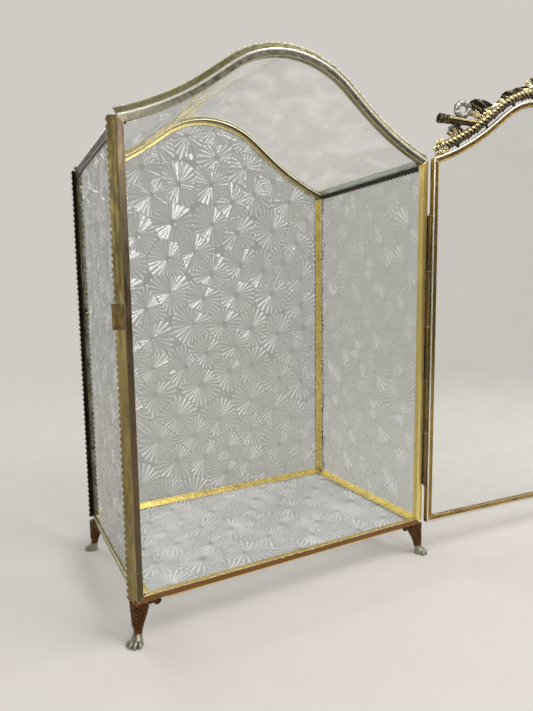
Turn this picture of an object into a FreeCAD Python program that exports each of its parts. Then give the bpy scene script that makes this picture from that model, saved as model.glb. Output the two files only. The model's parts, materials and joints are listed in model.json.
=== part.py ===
import FreeCAD, Part
import math
import os
import re
from types import SimpleNamespace

import Sketcher
from FreeCAD import Rotation, Vector

# Brass and glass display case with an ogee roof and a hinged front door, in millimetres.
# +X is to the right seen from the front, +Y to the back, +Z up. The origin is on the floor,
# under the middle of the case's plan. The ridge is the outer front corner line of the folded strip.
SIZES = {
    # Case, measured over the ridge lines
    "case_width": 228.8,
    "case_depth": 143,
    "case_height": 282,
    "foot_height": 26,
    # Ogee arch, from the crown outwards: round crown, straight flank, hollow shoulder
    "crown_radius": 72,
    "flank_slope": 37,
    "flank_run": 17.4,
    "shoulder_radius": 200,
    # Folded brass strip of the case's frames
    "strip_thickness": 0.8,
    "web_width": 3.8,
    "return_depth": 4.2,
    "flange_length": 6.4,
    "flange_splay": 27,
    "hinge_flange_length": 3.2,
    "rail_flange_length": 1.2,
    "back_web_width": 6,
    "back_flange_length": 4,
    "flange_end_gap": 2.5,
    "tooth_pitch": 4,
    "tooth_depth": 1.3,
    "seam_gap": 0.2,
    # Glass
    "glass_thickness": 2,
    "glass_clearance": 0.1,
    # Shoulder and base rails, and the strips soldered inside the corners
    "shoulder_web": 5,
    "base_web": 4.2,
    "base_lip": 9,
    "shoulder_strip_width": 5,
    "corner_strip_side": 5,
    "corner_strip_back": 3.6,
    "floor_strip_flat": 5.6,
    # Door
    "door_gap": 0.6,
    "door_bottom_gap": 0.6,
    "door_strip_width": 4.6,
    "door_arch_rise": 2,
    "door_glass_play": 0.2,
    "door_open_angle": 175.3,
    # Tube hinge
    "hinge_out": 2.2,
    "hinge_forward": 1.7,
    "hinge_tube_diameter": 3,
    "hinge_pin_diameter": 1.6,
    "hinge_pin_clearance": 0.05,
    "hinge_pin_overhang": 1.5,
    "hinge_leaf_thickness": 0.4,
    "hinge_bridge_width": 1,
    "hinge_bottom": 32,
    "knuckle_length": 42,
    "knuckle_gap": 0.3,
    # Spring catch on the left front post
    "catch_bottom": 165,
    "catch_height": 15,
    "catch_tongue": 2.6,
    "catch_hook": 3.5,
    "catch_door_gap": 0.3,
    # Paw feet
    "foot_inset": 3,
    "foot_side_inset": 0.4,
    "foot_ear_length": 13,
    "foot_ear_height": 4.5,
    "foot_ear_thickness": 2.6,
    "foot_scroll_radius": 2.6,
    "leg_corner": 3.9,
    "leg_top_reach": 7,
    "knee_reach": 5.8,
    "knee_height": 17.5,
    "ankle_reach": 3.5,
    "ankle_height": 8.5,
    "paw_out": 4.4,
    "paw_length": 11.6,
    "paw_width": 10.6,
    "paw_height": 8.4,
    "paw_sink": 1,
    "toe_radius": 2,
    "toe_reach": 4,
    "toe_sink": 0.5,
    # Crest on the door's arch
    "rope_offset": 8.4,
    "rope_diameter": 5,
    "rope_end_inset": 11.5,
    "stay_diameter": 2,
    "stay_spacing": 34,
    "rosette_inset": 12,
    "rosette_offset": 9.2,
    "rosette_diameter": 13.4,
    "rosette_depth": 5,
    "boss_diameter": 4.6,
    "boss_depth": 6.6,
    "ring_inset": 28.2,
    "ring_rise": 40.3,
    "ring_radius": 4.9,
    "ring_wire": 2,
    "torch_inset": 5,
    "torch_rise": 31.5,
    "torch_length": 37.5,
    "torch_butt_radius": 3.4,
    "torch_tip_radius": 2.4,
    "leaf_width": 10,
    "leaf_depth": 3,
    "tail_leaf_way": 22,
    "side_leaf_way": 53,
    "top_leaf_way": 44,
    "top_leaf_run": 24,
    "top_leaf_rise": 7,
    "crown_leaf_way": 25,
    "crown_leaf_run": 19,
    "crown_leaf_rise": 16,
    "palmette_height": 22,
    "palmette_spread": 28,
    "palmette_lobe_width": 7,
    "palmette_depth": 3.4,
}

# Counts and fans that are not lengths
KNUCKLES = 5
TOES = 4
TOE_FAN = 100
PALMETTE_LOBES = 5

doc = FreeCAD.newDocument("display_case")
sheet = doc.addObject("Spreadsheet::Sheet", "Sizes")
for row, (alias, value) in enumerate(SIZES.items(), start=1):
    sheet.set(f"A{row}", alias)
    sheet.set(f"B{row}", str(value))
    sheet.setAlias(f"B{row}", alias)
doc.recompute()
size = SimpleNamespace(**{alias: float(sheet.get(alias)) for alias in SIZES})

# Lengths worked out from the sheet, as expressions that the features are bound to
HALF_W = "case_width / 2"
HALF_D = "case_depth / 2"
STRIP = "strip_thickness"
SHOULDER_SINE = (
    "(sin(flank_slope) - (case_width / 2 - crown_radius * sin(flank_slope)"
    " - flank_run * cos(flank_slope)) / shoulder_radius)"
)
SHOULDER_COSINE = f"sqrt(1 - {SHOULDER_SINE} ^ 2)"
SHOULDER_TAN = f"({SHOULDER_SINE} / {SHOULDER_COSINE})"
MITRE_DROP = f"((1 - {SHOULDER_SINE}) / {SHOULDER_COSINE})"
ARCH_RISE = (
    "(crown_radius * (1 - cos(flank_slope)) + flank_run * sin(flank_slope)"
    f" + shoulder_radius * ({SHOULDER_COSINE} - cos(flank_slope)))"
)
CROWN_Z = f"(foot_height + case_height + {ARCH_RISE})"
FLANGE_BEND = "(strip_thickness * tan(flange_splay / 2))"
# How far a pane's outer and inner faces lie inside the ridge
PANE_OUT = "(web_width - strip_thickness - glass_clearance - glass_thickness)"
PANE_IN = "(web_width - strip_thickness - glass_clearance)"
# Free room between the side panes, and in front of the back pane
ROOM_X = f"({HALF_W} - {PANE_IN} - glass_clearance)"
ROOM_Y = f"({HALF_D} - strip_thickness - glass_thickness - glass_clearance)"
FLOOR_TOP = f"({PANE_IN} + glass_clearance)"
DOOR_IN = f"(-{HALF_D} - door_gap)"
DOOR_OUT = f"({DOOR_IN} - 2 * strip_thickness - glass_thickness - 2 * door_glass_play)"
DOOR_MID = f"(({DOOR_IN} + {DOOR_OUT}) / 2)"
DOOR_GLASS_EDGE = "(strip_thickness + door_glass_play)"
HINGE_X = f"({HALF_W} + hinge_out)"
HINGE_Y = f"(-{HALF_D} - hinge_forward)"
HINGE_LENGTH = f"({KNUCKLES} * knuckle_length)"

finished = {}


def bound(text):
    """Expression text with every size name pointing at the sheet."""
    return re.sub(r"[a-z_]+", lambda m: f"Sizes.{m[0]}" if m[0] in SIZES else m[0], text)


def bind(feature, **expressions):
    """Bind properties to expressions. A double underscore in a name stands for a dot."""
    for name, text in expressions.items():
        feature.setExpression(name.replace("__", "."), bound(str(text)))


def place(feature, x="0", y="0", z="0"):
    bind(feature, Placement__Base__x=x, Placement__Base__y=y, Placement__Base__z=z)


def finish(label, feature):
    """Name a sub-part; the label is also its file's name."""
    feature.Label = label
    finished[label] = feature
    return feature


def signed(side, text):
    """An X coordinate on the right (+1) or left (-1) side."""
    return text if side > 0 else f"-({text})"


# Sketches and features of a body
def new_body(name):
    return doc.addObject("PartDesign::Body", name)


def origin_plane(body, role):
    return next(item for item in body.Origin.OriginFeatures if item.Role == role)


def new_sketch(body, role, name):
    sketch = body.newObject("Sketcher::SketchObject", f"{body.Name}_{name}")
    sketch.AttachmentSupport = (origin_plane(body, role), [""])
    sketch.MapMode = "FlatFace"
    return sketch


def constrain(sketch, kind, *where, to=None):
    """Add a constraint, bound to an expression where it has a value."""
    index = sketch.addConstraint(Sketcher.Constraint(kind, *where))
    if to is not None:
        sketch.setExpression(f"Constraints[{index}]", bound(to))


def polygon(body, role, name, *loops):
    """Sketch of closed outlines whose corners are bound to (x, y) expressions."""
    sketch = new_sketch(body, role, name)
    for corners in loops:
        count = len(corners)
        # The solver moves a rough ring of points to the bound corners
        turns = [math.tau * i / count for i in range(count)]
        start = [Vector(math.cos(turn), math.sin(turn), 0) for turn in turns]
        lines = [
            sketch.addGeometry(Part.LineSegment(start[i], start[(i + 1) % count]), False)
            for i in range(count)
        ]
        for i, line in enumerate(lines):
            constrain(sketch, "Coincident", line, 2, lines[(i + 1) % count], 1)
        for line, point, (x, y) in zip(lines, start, corners):
            constrain(sketch, "DistanceX", -1, 1, line, 1, point.x, to=x)
            constrain(sketch, "DistanceY", -1, 1, line, 1, point.y, to=y)
    return sketch


def pad(body, sketch, length, both_ways=False):
    feature = body.newObject("PartDesign::Pad", f"{sketch.Name}_pad")
    feature.Profile = sketch
    if both_ways:
        feature.SideType = "Symmetric"
    bind(feature, Length=length)
    return feature


def cut_through(body, sketch):
    """Cut a sketch's outlines out of the whole body, both ways from its plane."""
    feature = body.newObject("PartDesign::Pocket", f"{sketch.Name}_cut")
    feature.Profile = sketch
    feature.Type = "ThroughAll"
    feature.SideType = "Symmetric"
    return feature


def mirror_sides(body, *originals):
    feature = body.newObject("PartDesign::Mirrored", f"{body.Name}_mirrored")
    feature.Originals = list(originals)
    feature.MirrorPlane = (origin_plane(body, "YZ_Plane"), [""])
    body.Tip = feature
    return feature


# Ogee curve, seen from the front with its crown at the sketch's origin
slope = math.radians(size.flank_slope)
flank_start = Vector(size.crown_radius * math.sin(slope), -size.crown_radius * (1 - math.cos(slope)), 0)
flank_end = flank_start + Vector(math.cos(slope), -math.sin(slope), 0) * size.flank_run
shoulder_centre = flank_end + Vector(math.sin(slope), math.cos(slope), 0) * size.shoulder_radius
shoulder_slope = math.asin((shoulder_centre.x - size.case_width / 2) / size.shoulder_radius)
crown_stretch = size.crown_radius * slope
half_stretch = crown_stretch + size.flank_run + size.shoulder_radius * (slope - shoulder_slope)
arch_rise = -(shoulder_centre.y - size.shoulder_radius * math.cos(shoulder_slope))
crown_z = size.foot_height + size.case_height + arch_rise


def ogee_at(stretch, outward):
    """Point (x, z) beside the ridge curve.

    stretch is the way along the curve from the crown, negative to the left; outward is the distance
    from the curve along its normal.
    """
    way = abs(stretch)
    if way <= crown_stretch:
        lean = way / size.crown_radius
        x, z = size.crown_radius * math.sin(lean), size.crown_radius * (math.cos(lean) - 1)
    elif way <= crown_stretch + size.flank_run:
        lean = slope
        x = flank_start.x + (way - crown_stretch) * math.cos(slope)
        z = flank_start.y - (way - crown_stretch) * math.sin(slope)
    else:
        lean = slope - (way - crown_stretch - size.flank_run) / size.shoulder_radius
        x = shoulder_centre.x - size.shoulder_radius * math.sin(lean)
        z = shoulder_centre.y - size.shoulder_radius * math.cos(lean)
    side = math.copysign(1, stretch)
    return side * (x + outward * math.sin(lean)), crown_z + z + outward * math.cos(lean)


def ogee_sketch(body, name, inset="0", side=HALF_W, bottom=None):
    """Right half of the ogee, moved inwards by inset and ending at x = side.

    With a bottom, the sketch goes on down the side and closes along the middle line.
    """
    sketch = new_sketch(body, "XZ_Plane", name)
    crown = Part.ArcOfCircle(
        Part.Circle(Vector(0, -size.crown_radius, 0), Vector(0, 0, 1), size.crown_radius),
        math.pi / 2 - slope, math.pi / 2,
    )
    hollow = Part.ArcOfCircle(
        Part.Circle(shoulder_centre, Vector(0, 0, 1), size.shoulder_radius),
        1.5 * math.pi - slope, 1.5 * math.pi - shoulder_slope,
    )
    crown = sketch.addGeometry(crown, False)
    flank = sketch.addGeometry(Part.LineSegment(flank_start, flank_end), False)
    hollow = sketch.addGeometry(hollow, False)
    constrain(sketch, "PointOnObject", crown, 2, -2)
    constrain(sketch, "PointOnObject", crown, 3, -2)
    constrain(sketch, "Tangent", crown, 1, flank, 1)
    constrain(sketch, "Tangent", flank, 2, hollow, 1)
    constrain(sketch, "DistanceY", -1, 1, crown, 2, 0.0, to=f"-({inset})")
    constrain(sketch, "Radius", crown, size.crown_radius, to=f"crown_radius - ({inset})")
    constrain(sketch, "Angle", flank, -slope, to="-flank_slope")
    constrain(sketch, "Distance", flank, 1, flank, 2, size.flank_run, to="flank_run")
    constrain(sketch, "Radius", hollow, size.shoulder_radius, to=f"shoulder_radius + ({inset})")
    constrain(sketch, "DistanceX", -1, 1, hollow, 2, size.case_width / 2, to=side)
    if bottom is not None:
        shoulder = Vector(size.case_width / 2, -arch_rise, 0)
        corner = shoulder - Vector(0, size.case_height, 0)
        middle = Vector(0, corner.y, 0)
        wall = sketch.addGeometry(Part.LineSegment(shoulder, corner), False)
        sill = sketch.addGeometry(Part.LineSegment(corner, middle), False)
        axis = sketch.addGeometry(Part.LineSegment(middle, Vector(0, 0, 0)), False)
        constrain(sketch, "Coincident", hollow, 2, wall, 1)
        constrain(sketch, "Coincident", wall, 2, sill, 1)
        constrain(sketch, "Coincident", sill, 2, axis, 1)
        constrain(sketch, "Coincident", axis, 2, crown, 2)
        constrain(sketch, "Vertical", wall)
        constrain(sketch, "Horizontal", sill)
        constrain(sketch, "PointOnObject", sill, 2, -2)
        constrain(sketch, "DistanceY", -1, 1, wall, 2, corner.y, to=bottom)
    return sketch


def sweep_arch(name, profile_of, trims):
    """Body with a profile swept along the ogee and mirrored, ends trimmed by outlines in front view."""
    body = new_body(name)
    spine = ogee_sketch(body, "spine")
    profile = profile_of(body)
    pipe = body.newObject("PartDesign::AdditivePipe", f"{name}_pipe")
    pipe.Profile = profile
    pipe.Spine = (spine, [f"Edge{i + 1}" for i in range(spine.GeometryCount)])
    trim = cut_through(body, polygon(body, "XZ_Plane", "trim", *trims))
    mirror_sides(body, pipe, trim)
    place(body, z=CROWN_Z)
    return body


def section(corners):
    """Profile maker for sweep_arch, from corners (y, z) with the ridge's crown at z = 0."""
    return lambda body: polygon(body, "YZ_Plane", "profile", corners)


def shoulder_mitre(width):
    """Outline below the mitre at the shoulder, seen from the front, for a strip of that width."""
    reach = f"({width} + 2 * strip_thickness)"
    low = f"(-{ARCH_RISE} - {MITRE_DROP} * {reach})"
    return [
        (HALF_W, f"-{ARCH_RISE}"),
        (f"{HALF_W} - {reach}", low),
        (f"{HALF_W} - {reach}", f"{low} - {reach}"),
        (f"{HALF_W} + {reach}", f"{low} - {reach}"),
        (f"{HALF_W} + {reach}", f"-{ARCH_RISE}"),
    ]


def beyond(x, height):
    """Outline of everything further right than x near the shoulder, seen from the front."""
    return [
        (x, f"-{ARCH_RISE} - {height}"),
        (f"{HALF_W} + {height}", f"-{ARCH_RISE} - {height}"),
        (f"{HALF_W} + {height}", f"-{ARCH_RISE} + {height}"),
        (x, f"-{ARCH_RISE} + {height}"),
    ]


# Toothed edges: a comb is everything beyond the zigzag line of an edge
def comb(name, edge_at, start, end, through):
    """Solid that cuts teeth into an edge.

    edge_at(way, out) gives a point at a way along the edge, out beyond the tooth tips; through is the
    vector that the zigzag outline is extruded by.
    """
    depth = size.tooth_depth * math.cos(math.radians(size.flange_splay))
    teeth = max(1, int((end - start) / size.tooth_pitch))
    step = (end - start) / teeth
    zigzag = []
    for i in range(teeth):
        zigzag += [edge_at(start + i * step, -depth), edge_at(start + (i + 0.5) * step, 0)]
    zigzag.append(edge_at(end, -depth))
    far_side = [edge_at(end - i * step, size.tooth_depth) for i in range(teeth + 1)]
    outline = Part.makePolygon(zigzag + far_side + zigzag[:1])
    feature = doc.addObject("Part::Feature", f"{name}_comb")
    feature.Shape = Part.Face(outline).extrude(through)
    return feature


def toothed(label, blank, teeth):
    feature = doc.addObject("Part::Cut", label)
    feature.Base = blank
    feature.Tool = teeth
    return finish(label, feature)


def flange_reach(length):
    """How far a splayed flange stands out from the ridge, and how far it leans."""
    splay = math.radians(size.flange_splay)
    return length * math.cos(splay), length * math.sin(splay)


def straight_edge(origin, along, outward):
    return lambda way, out: origin + along * way + outward * out


# Front frame: a channel round the panes' front edges, open to the back, with a splayed outer flange
def front_section(out, depth, flange):
    """Corners of the front channel.

    Args are functions of a length: out gives the coordinate across the strip, outwards from the ridge,
    and depth the coordinate towards the back, from the front face.
    """
    return [
        (out("-web_width"), depth("0")),
        (out("0"), depth("0")),
        (out(f"{flange} * cos(flange_splay)"), depth(f"{flange} * sin(flange_splay)")),
        (
            out(f"{flange} * cos(flange_splay) - {STRIP} * sin(flange_splay)"),
            depth(f"{flange} * sin(flange_splay) + {STRIP} * cos(flange_splay)"),
        ),
        (out(f"-{FLANGE_BEND}"), depth(STRIP)),
        (out(f"-web_width + {STRIP}"), depth(STRIP)),
        (out(f"-web_width + {STRIP}"), depth("return_depth")),
        (out("-web_width"), depth("return_depth")),
    ]


def angle_section(out, depth, web, flange):
    """Corners of the angle used at the back and the shoulders: a web and a splayed flange."""
    return [
        (out("0"), depth("0")),
        (out(f"{flange} * cos(flange_splay)"), depth(f"{flange} * sin(flange_splay)")),
        (
            out(f"{flange} * cos(flange_splay) - {STRIP} * sin(flange_splay)"),
            depth(f"{flange} * sin(flange_splay) + {STRIP} * cos(flange_splay)"),
        ),
        (out(f"-{FLANGE_BEND}"), depth(STRIP)),
        (out(f"-{web}"), depth(STRIP)),
        (out(f"-{web}"), depth("0")),
    ]


def from_front(text):
    return f"-{HALF_D} + {text}"


def from_back(text):
    return f"{HALF_D} - ({text})"


def swapped(corners):
    return [(y, x) for x, y in corners]


def post(name, side, corners, web):
    """Upright strip with mitred ends and its flange stopped short of the foot."""
    body = new_body(name)
    pad(body, polygon(body, "XY_Plane", "section", corners), "case_height")
    reach = f"({web} + {STRIP})"
    top = [
        (signed(side, HALF_W), "case_height"),
        (signed(side, f"{HALF_W} - {reach}"), "case_height"),
        (signed(side, f"{HALF_W} - {reach}"), f"case_height - {MITRE_DROP} * {reach}"),
    ]
    bottom = [
        (signed(side, HALF_W), "0"),
        (signed(side, f"{HALF_W} - {reach}"), "0"),
        (signed(side, f"{HALF_W} - {reach}"), reach),
    ]
    flange_end = [
        (signed(side, HALF_W), "0"),
        (signed(side, f"{HALF_W} + flange_length"), "0"),
        (signed(side, f"{HALF_W} + flange_length"), "flange_end_gap"),
        (signed(side, HALF_W), "flange_end_gap"),
    ]
    cut_through(body, polygon(body, "XZ_Plane", "mitres", top, bottom))
    cut_through(body, polygon(body, "XZ_Plane", "flange_end", flange_end))
    place(body, z="foot_height")
    return body


def post_comb(name, side, length, front):
    reach, lean = flange_reach(length)
    tip = Vector(side * (size.case_width / 2 + reach), 0, size.foot_height)
    tip.y = front * (size.case_depth / 2 + size.tooth_depth)
    through = Vector(0, -front * (lean + 2 * size.tooth_depth + size.strip_thickness), 0)
    edge = straight_edge(tip, Vector(0, 0, 1), Vector(side, 0, 0))
    return comb(name, edge, size.flange_end_gap, size.case_height, through)


def arch_comb(name, length, front):
    reach, lean = flange_reach(length)
    y = front * (size.case_depth / 2 + size.tooth_depth)

    def edge(way, out):
        x, z = ogee_at(way, reach + out)
        return Vector(x, y, z)

    through = Vector(0, -front * (lean + 2 * size.tooth_depth + size.strip_thickness), 0)
    return comb(name, edge, -half_stretch, half_stretch, through)


def bottom_rail(name, corners, web, flange):
    """Rail along the bottom of a frame, mitred at its ends, its flange kept clear of the feet."""
    body = new_body(name)
    pad(body, polygon(body, "YZ_Plane", "section", corners), "case_width", both_ways=True)
    reach = f"({web} + {STRIP})"
    clear = "(foot_inset + foot_ear_length + foot_scroll_radius + seam_gap)"
    loops = []
    for side in (1, -1):
        loops.append([
            (signed(side, HALF_W), "0"),
            (signed(side, f"{HALF_W} - {reach}"), reach),
            (signed(side, HALF_W), reach),
        ])
    mitres = polygon(body, "XZ_Plane", "mitres", *loops)
    cut_through(body, mitres)
    loops = []
    for side in (1, -1):
        loops.append([
            (signed(side, f"{HALF_W} - {clear}"), "0"),
            (signed(side, f"{HALF_W} + {reach}"), "0"),
            (signed(side, f"{HALF_W} + {reach}"), f"-{flange}"),
            (signed(side, f"{HALF_W} - {clear}"), f"-{flange}"),
        ])
    cut_through(body, polygon(body, "XZ_Plane", "foot_room", *loops))
    place(body, z="foot_height")
    return body


def bottom_comb(name, length, front):
    reach, lean = flange_reach(length)
    clear = size.foot_inset + size.foot_ear_length + size.foot_scroll_radius + size.seam_gap
    half = size.case_width / 2 - clear
    tip = Vector(0, front * (size.case_depth / 2 + size.tooth_depth), size.foot_height - reach)
    through = Vector(0, -front * (lean + 2 * size.tooth_depth + size.strip_thickness), 0)
    return comb(name, straight_edge(tip, Vector(1, 0, 0), Vector(0, 0, -1)), -half, half, through)


def outwards(side):
    return lambda text: signed(side, f"{HALF_W} + {text}")


def upwards(text):
    return text


def downwards(text):
    return f"-({text})"


left_corners = front_section(outwards(-1), from_front, "flange_length")
left_blank = post("front_post_left_blank", -1, left_corners, "web_width")
toothed("front_post_left", left_blank, post_comb("front_post_left", -1, size.flange_length, -1))

right_corners = front_section(outwards(1), from_front, "hinge_flange_length")
finish("front_post_right", post("front_post_right", 1, right_corners, "web_width"))

arch_corners = swapped(front_section(upwards, from_front, "flange_length"))
arch_blank = sweep_arch("front_arch_blank", section(arch_corners), [shoulder_mitre("web_width")])
toothed("front_arch", arch_blank, arch_comb("front_arch", size.flange_length, -1))

rail_corners = swapped(front_section(downwards, from_front, "rail_flange_length"))
finish("front_bottom_rail", bottom_rail("front_bottom_rail", rail_corners, "web_width", "rail_flange_length"))

# Back frame: an angle whose web covers the back pane's edge from behind
for side, hand in ((-1, "left"), (1, "right")):
    corners = angle_section(outwards(side), from_back, "back_web_width", "back_flange_length")
    blank = post(f"back_post_{hand}_blank", side, corners, "back_web_width")
    teeth = post_comb(f"back_post_{hand}", side, size.back_flange_length, 1)
    toothed(f"back_post_{hand}", blank, teeth)

arch_corners = swapped(angle_section(upwards, from_back, "back_web_width", "back_flange_length"))
arch_blank = sweep_arch("back_arch_blank", section(arch_corners), [shoulder_mitre("back_web_width")])
toothed("back_arch", arch_blank, arch_comb("back_arch", size.back_flange_length, 1))

rail_corners = swapped(angle_section(downwards, from_back, "back_web_width", "back_flange_length"))
rail_blank = bottom_rail("back_bottom_rail_blank", rail_corners, "back_web_width", "back_flange_length")
toothed("back_bottom_rail", rail_blank, bottom_comb("back_bottom_rail", size.back_flange_length, 1))


# Rails and strips that run from front to back
def along_depth(name, corners, front, back, z):
    """Strip with a section in front view, from y = front to y = back."""
    body = new_body(name)
    pad(body, polygon(body, "XZ_Plane", "section", corners), f"({back}) - ({front})", both_ways=True)
    place(body, y=f"(({back}) + ({front})) / 2", z=z)
    return body


SHOULDER_FRONT = f"-{HALF_D} + flange_length * sin(flange_splay) + {STRIP} + seam_gap"
SHOULDER_BACK = f"{HALF_D} - back_flange_length * sin(flange_splay) - {STRIP} - seam_gap"
STRIP_FRONT = f"-{HALF_D} + return_depth + seam_gap"
SHOULDER_Z = "foot_height + case_height"
# Top edge of the side panes, just under the roof pane's edge
SIDE_PANE_TOP = (
    f"(case_height + ({PANE_OUT} + seam_gap) * {SHOULDER_TAN}"
    f" - {PANE_IN} / {SHOULDER_COSINE} - seam_gap)"
)

for side, hand in ((-1, "left"), (1, "right")):
    corners = swapped(angle_section(
        upwards,
        lambda text: signed(side, f"{HALF_W} - ({text})"),
        "shoulder_web", "back_flange_length",
    ))
    blank = along_depth(f"shoulder_rail_{hand}_blank", corners, SHOULDER_FRONT, SHOULDER_BACK, SHOULDER_Z)
    reach, lean = flange_reach(size.back_flange_length)
    shoulder_z = size.foot_height + size.case_height
    rail_front = -size.case_depth / 2 + flange_reach(size.flange_length)[1]
    rail_front += size.strip_thickness + size.seam_gap
    rail_back = size.case_depth / 2 - lean - size.strip_thickness - size.seam_gap
    tip = Vector(side * (size.case_width / 2 + size.tooth_depth), 0, shoulder_z + reach)
    through = Vector(-side * (lean + 2 * size.tooth_depth + size.strip_thickness), 0, 0)
    edge = straight_edge(tip, Vector(0, 1, 0), Vector(0, 0, 1))
    teeth = comb(f"shoulder_rail_{hand}", edge, rail_front, rail_back, through)
    toothed(f"shoulder_rail_{hand}", blank, teeth)

    base_corners = [
        (signed(side, HALF_W), "0"),
        (signed(side, HALF_W), "base_web"),
        (signed(side, f"{HALF_W} - {STRIP}"), "base_web"),
        (signed(side, f"{HALF_W} - {STRIP}"), STRIP),
        (signed(side, f"{HALF_W} - base_lip"), STRIP),
        (signed(side, f"{HALF_W} - base_lip"), "0"),
    ]
    base_front = f"-{HALF_D} + {STRIP} + seam_gap"
    base_back = f"{HALF_D} - {STRIP} - seam_gap"
    name = f"base_rail_{hand}"
    finish(name, along_depth(name, base_corners, base_front, base_back, "foot_height"))

    floor_corners = [
        (signed(side, ROOM_X), "0"),
        (signed(side, ROOM_X), "corner_strip_back"),
        (signed(side, f"{ROOM_X} - {STRIP}"), "corner_strip_back"),
        (signed(side, f"{ROOM_X} - {STRIP}"), STRIP),
        (signed(side, f"{ROOM_X} - floor_strip_flat"), STRIP),
        (signed(side, f"{ROOM_X} - floor_strip_flat"), "0"),
    ]
    floor_back = f"{ROOM_Y} - floor_strip_flat - seam_gap"
    name = f"inner_strip_floor_{hand}"
    finish(name, along_depth(name, floor_corners, STRIP_FRONT, floor_back, f"foot_height + {FLOOR_TOP}"))

    strip_corners = [
        (signed(side, ROOM_X), "-shoulder_strip_width"),
        (signed(side, ROOM_X), "0"),
        (signed(side, f"{ROOM_X} - {STRIP}"), "0"),
        (signed(side, f"{ROOM_X} - {STRIP}"), "-shoulder_strip_width"),
    ]
    strip_back = f"{ROOM_Y} - corner_strip_side - seam_gap"
    name = f"inner_strip_shoulder_{hand}"
    strip_top = f"foot_height + {SIDE_PANE_TOP}"
    blank = along_depth(f"{name}_blank", strip_corners, STRIP_FRONT, strip_back, strip_top)
    doc.recompute()
    bounds = blank.Shape.BoundBox
    tip = Vector(side * size.case_width / 2, 0, bounds.ZMin)
    edge = straight_edge(tip, Vector(0, 1, 0), Vector(0, 0, -1))
    through = Vector(-side * (size.web_width + 2 * size.strip_thickness), 0, 0)
    toothed(name, blank, comb(name, edge, bounds.YMin, bounds.YMax, through))

# Strips soldered inside the back corners
STRIP_TOP = (
    f"(case_height + ({HALF_W} - {ROOM_X}) * {SHOULDER_TAN}"
    f" - ({FLOOR_TOP} + corner_strip_back) / {SHOULDER_COSINE} - seam_gap)"
)
STRIP_BOTTOM = f"({FLOOR_TOP} + corner_strip_back + seam_gap)"
for side, hand in ((-1, "left"), (1, "right")):
    name = f"inner_strip_back_{hand}"
    body = new_body(name)
    corners = [
        (signed(side, ROOM_X), ROOM_Y),
        (signed(side, f"{ROOM_X} - corner_strip_back"), ROOM_Y),
        (signed(side, f"{ROOM_X} - corner_strip_back"), f"{ROOM_Y} - {STRIP}"),
        (signed(side, f"{ROOM_X} - {STRIP}"), f"{ROOM_Y} - {STRIP}"),
        (signed(side, f"{ROOM_X} - {STRIP}"), f"{ROOM_Y} - corner_strip_side"),
        (signed(side, ROOM_X), f"{ROOM_Y} - corner_strip_side"),
    ]
    pad(body, polygon(body, "XY_Plane", "section", corners), f"{STRIP_TOP} - {STRIP_BOTTOM}")
    place(body, z=f"foot_height + {STRIP_BOTTOM}")
    finish(name, body)

body = new_body("inner_strip_floor_back")
corners = [
    (ROOM_Y, "0"),
    (ROOM_Y, "corner_strip_back"),
    (f"{ROOM_Y} - {STRIP}", "corner_strip_back"),
    (f"{ROOM_Y} - {STRIP}", STRIP),
    (f"{ROOM_Y} - floor_strip_flat", STRIP),
    (f"{ROOM_Y} - floor_strip_flat", "0"),
]
pad(body, polygon(body, "YZ_Plane", "section", corners), f"2 * {ROOM_X}", both_ways=True)
place(body, z=f"foot_height + {FLOOR_TOP}")
finish("inner_strip_floor_back", body)

arch_corners = [
    (ROOM_Y, f"-{FLOOR_TOP}"),
    (ROOM_Y, f"-{FLOOR_TOP} - corner_strip_back"),
    (f"{ROOM_Y} - {STRIP}", f"-{FLOOR_TOP} - corner_strip_back"),
    (f"{ROOM_Y} - {STRIP}", f"-{FLOOR_TOP} - {STRIP}"),
    (f"{ROOM_Y} - corner_strip_side", f"-{FLOOR_TOP} - {STRIP}"),
    (f"{ROOM_Y} - corner_strip_side", f"-{FLOOR_TOP}"),
]
trim = beyond(ROOM_X, "(4 * corner_strip_back)")
finish("inner_strip_back_arch", sweep_arch("inner_strip_back_arch", section(arch_corners), [trim]))


# Glass
def pane(label, low, high):
    """Flat rectangular pane between two corners, each given as (x, y, z) expressions."""
    feature = doc.addObject("Part::Box", label)
    bind(
        feature,
        Length=f"({high[0]}) - ({low[0]})",
        Width=f"({high[1]}) - ({low[1]})",
        Height=f"({high[2]}) - ({low[2]})",
    )
    place(feature, *low)
    return finish(label, feature)


PANE_FRONT = f"(-{HALF_D} + {STRIP} + glass_clearance)"
PANE_BOTTOM = f"(foot_height + {STRIP} + glass_clearance)"
for side, hand in ((-1, "left"), (1, "right")):
    outer, inner = signed(side, f"{HALF_W} - {PANE_OUT}"), signed(side, f"{HALF_W} - {PANE_IN}")
    west, east = (inner, outer) if side > 0 else (outer, inner)
    top = f"foot_height + {SIDE_PANE_TOP}"
    pane(f"side_glass_{hand}", (west, PANE_FRONT, PANE_BOTTOM), (east, ROOM_Y, top))
floor_high = (ROOM_X, ROOM_Y, f"{PANE_BOTTOM} + glass_thickness")
pane("floor_glass", (f"-{ROOM_X}", PANE_FRONT, PANE_BOTTOM), floor_high)

roof_corners = [
    (PANE_FRONT, f"-{PANE_OUT}"),
    (ROOM_Y, f"-{PANE_OUT}"),
    (ROOM_Y, f"-{PANE_IN}"),
    (PANE_FRONT, f"-{PANE_IN}"),
]
trim = beyond(f"{HALF_W} - {PANE_OUT} - seam_gap", "(4 * web_width)")
finish("top_glass", sweep_arch("top_glass", section(roof_corners), [trim]))


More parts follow.
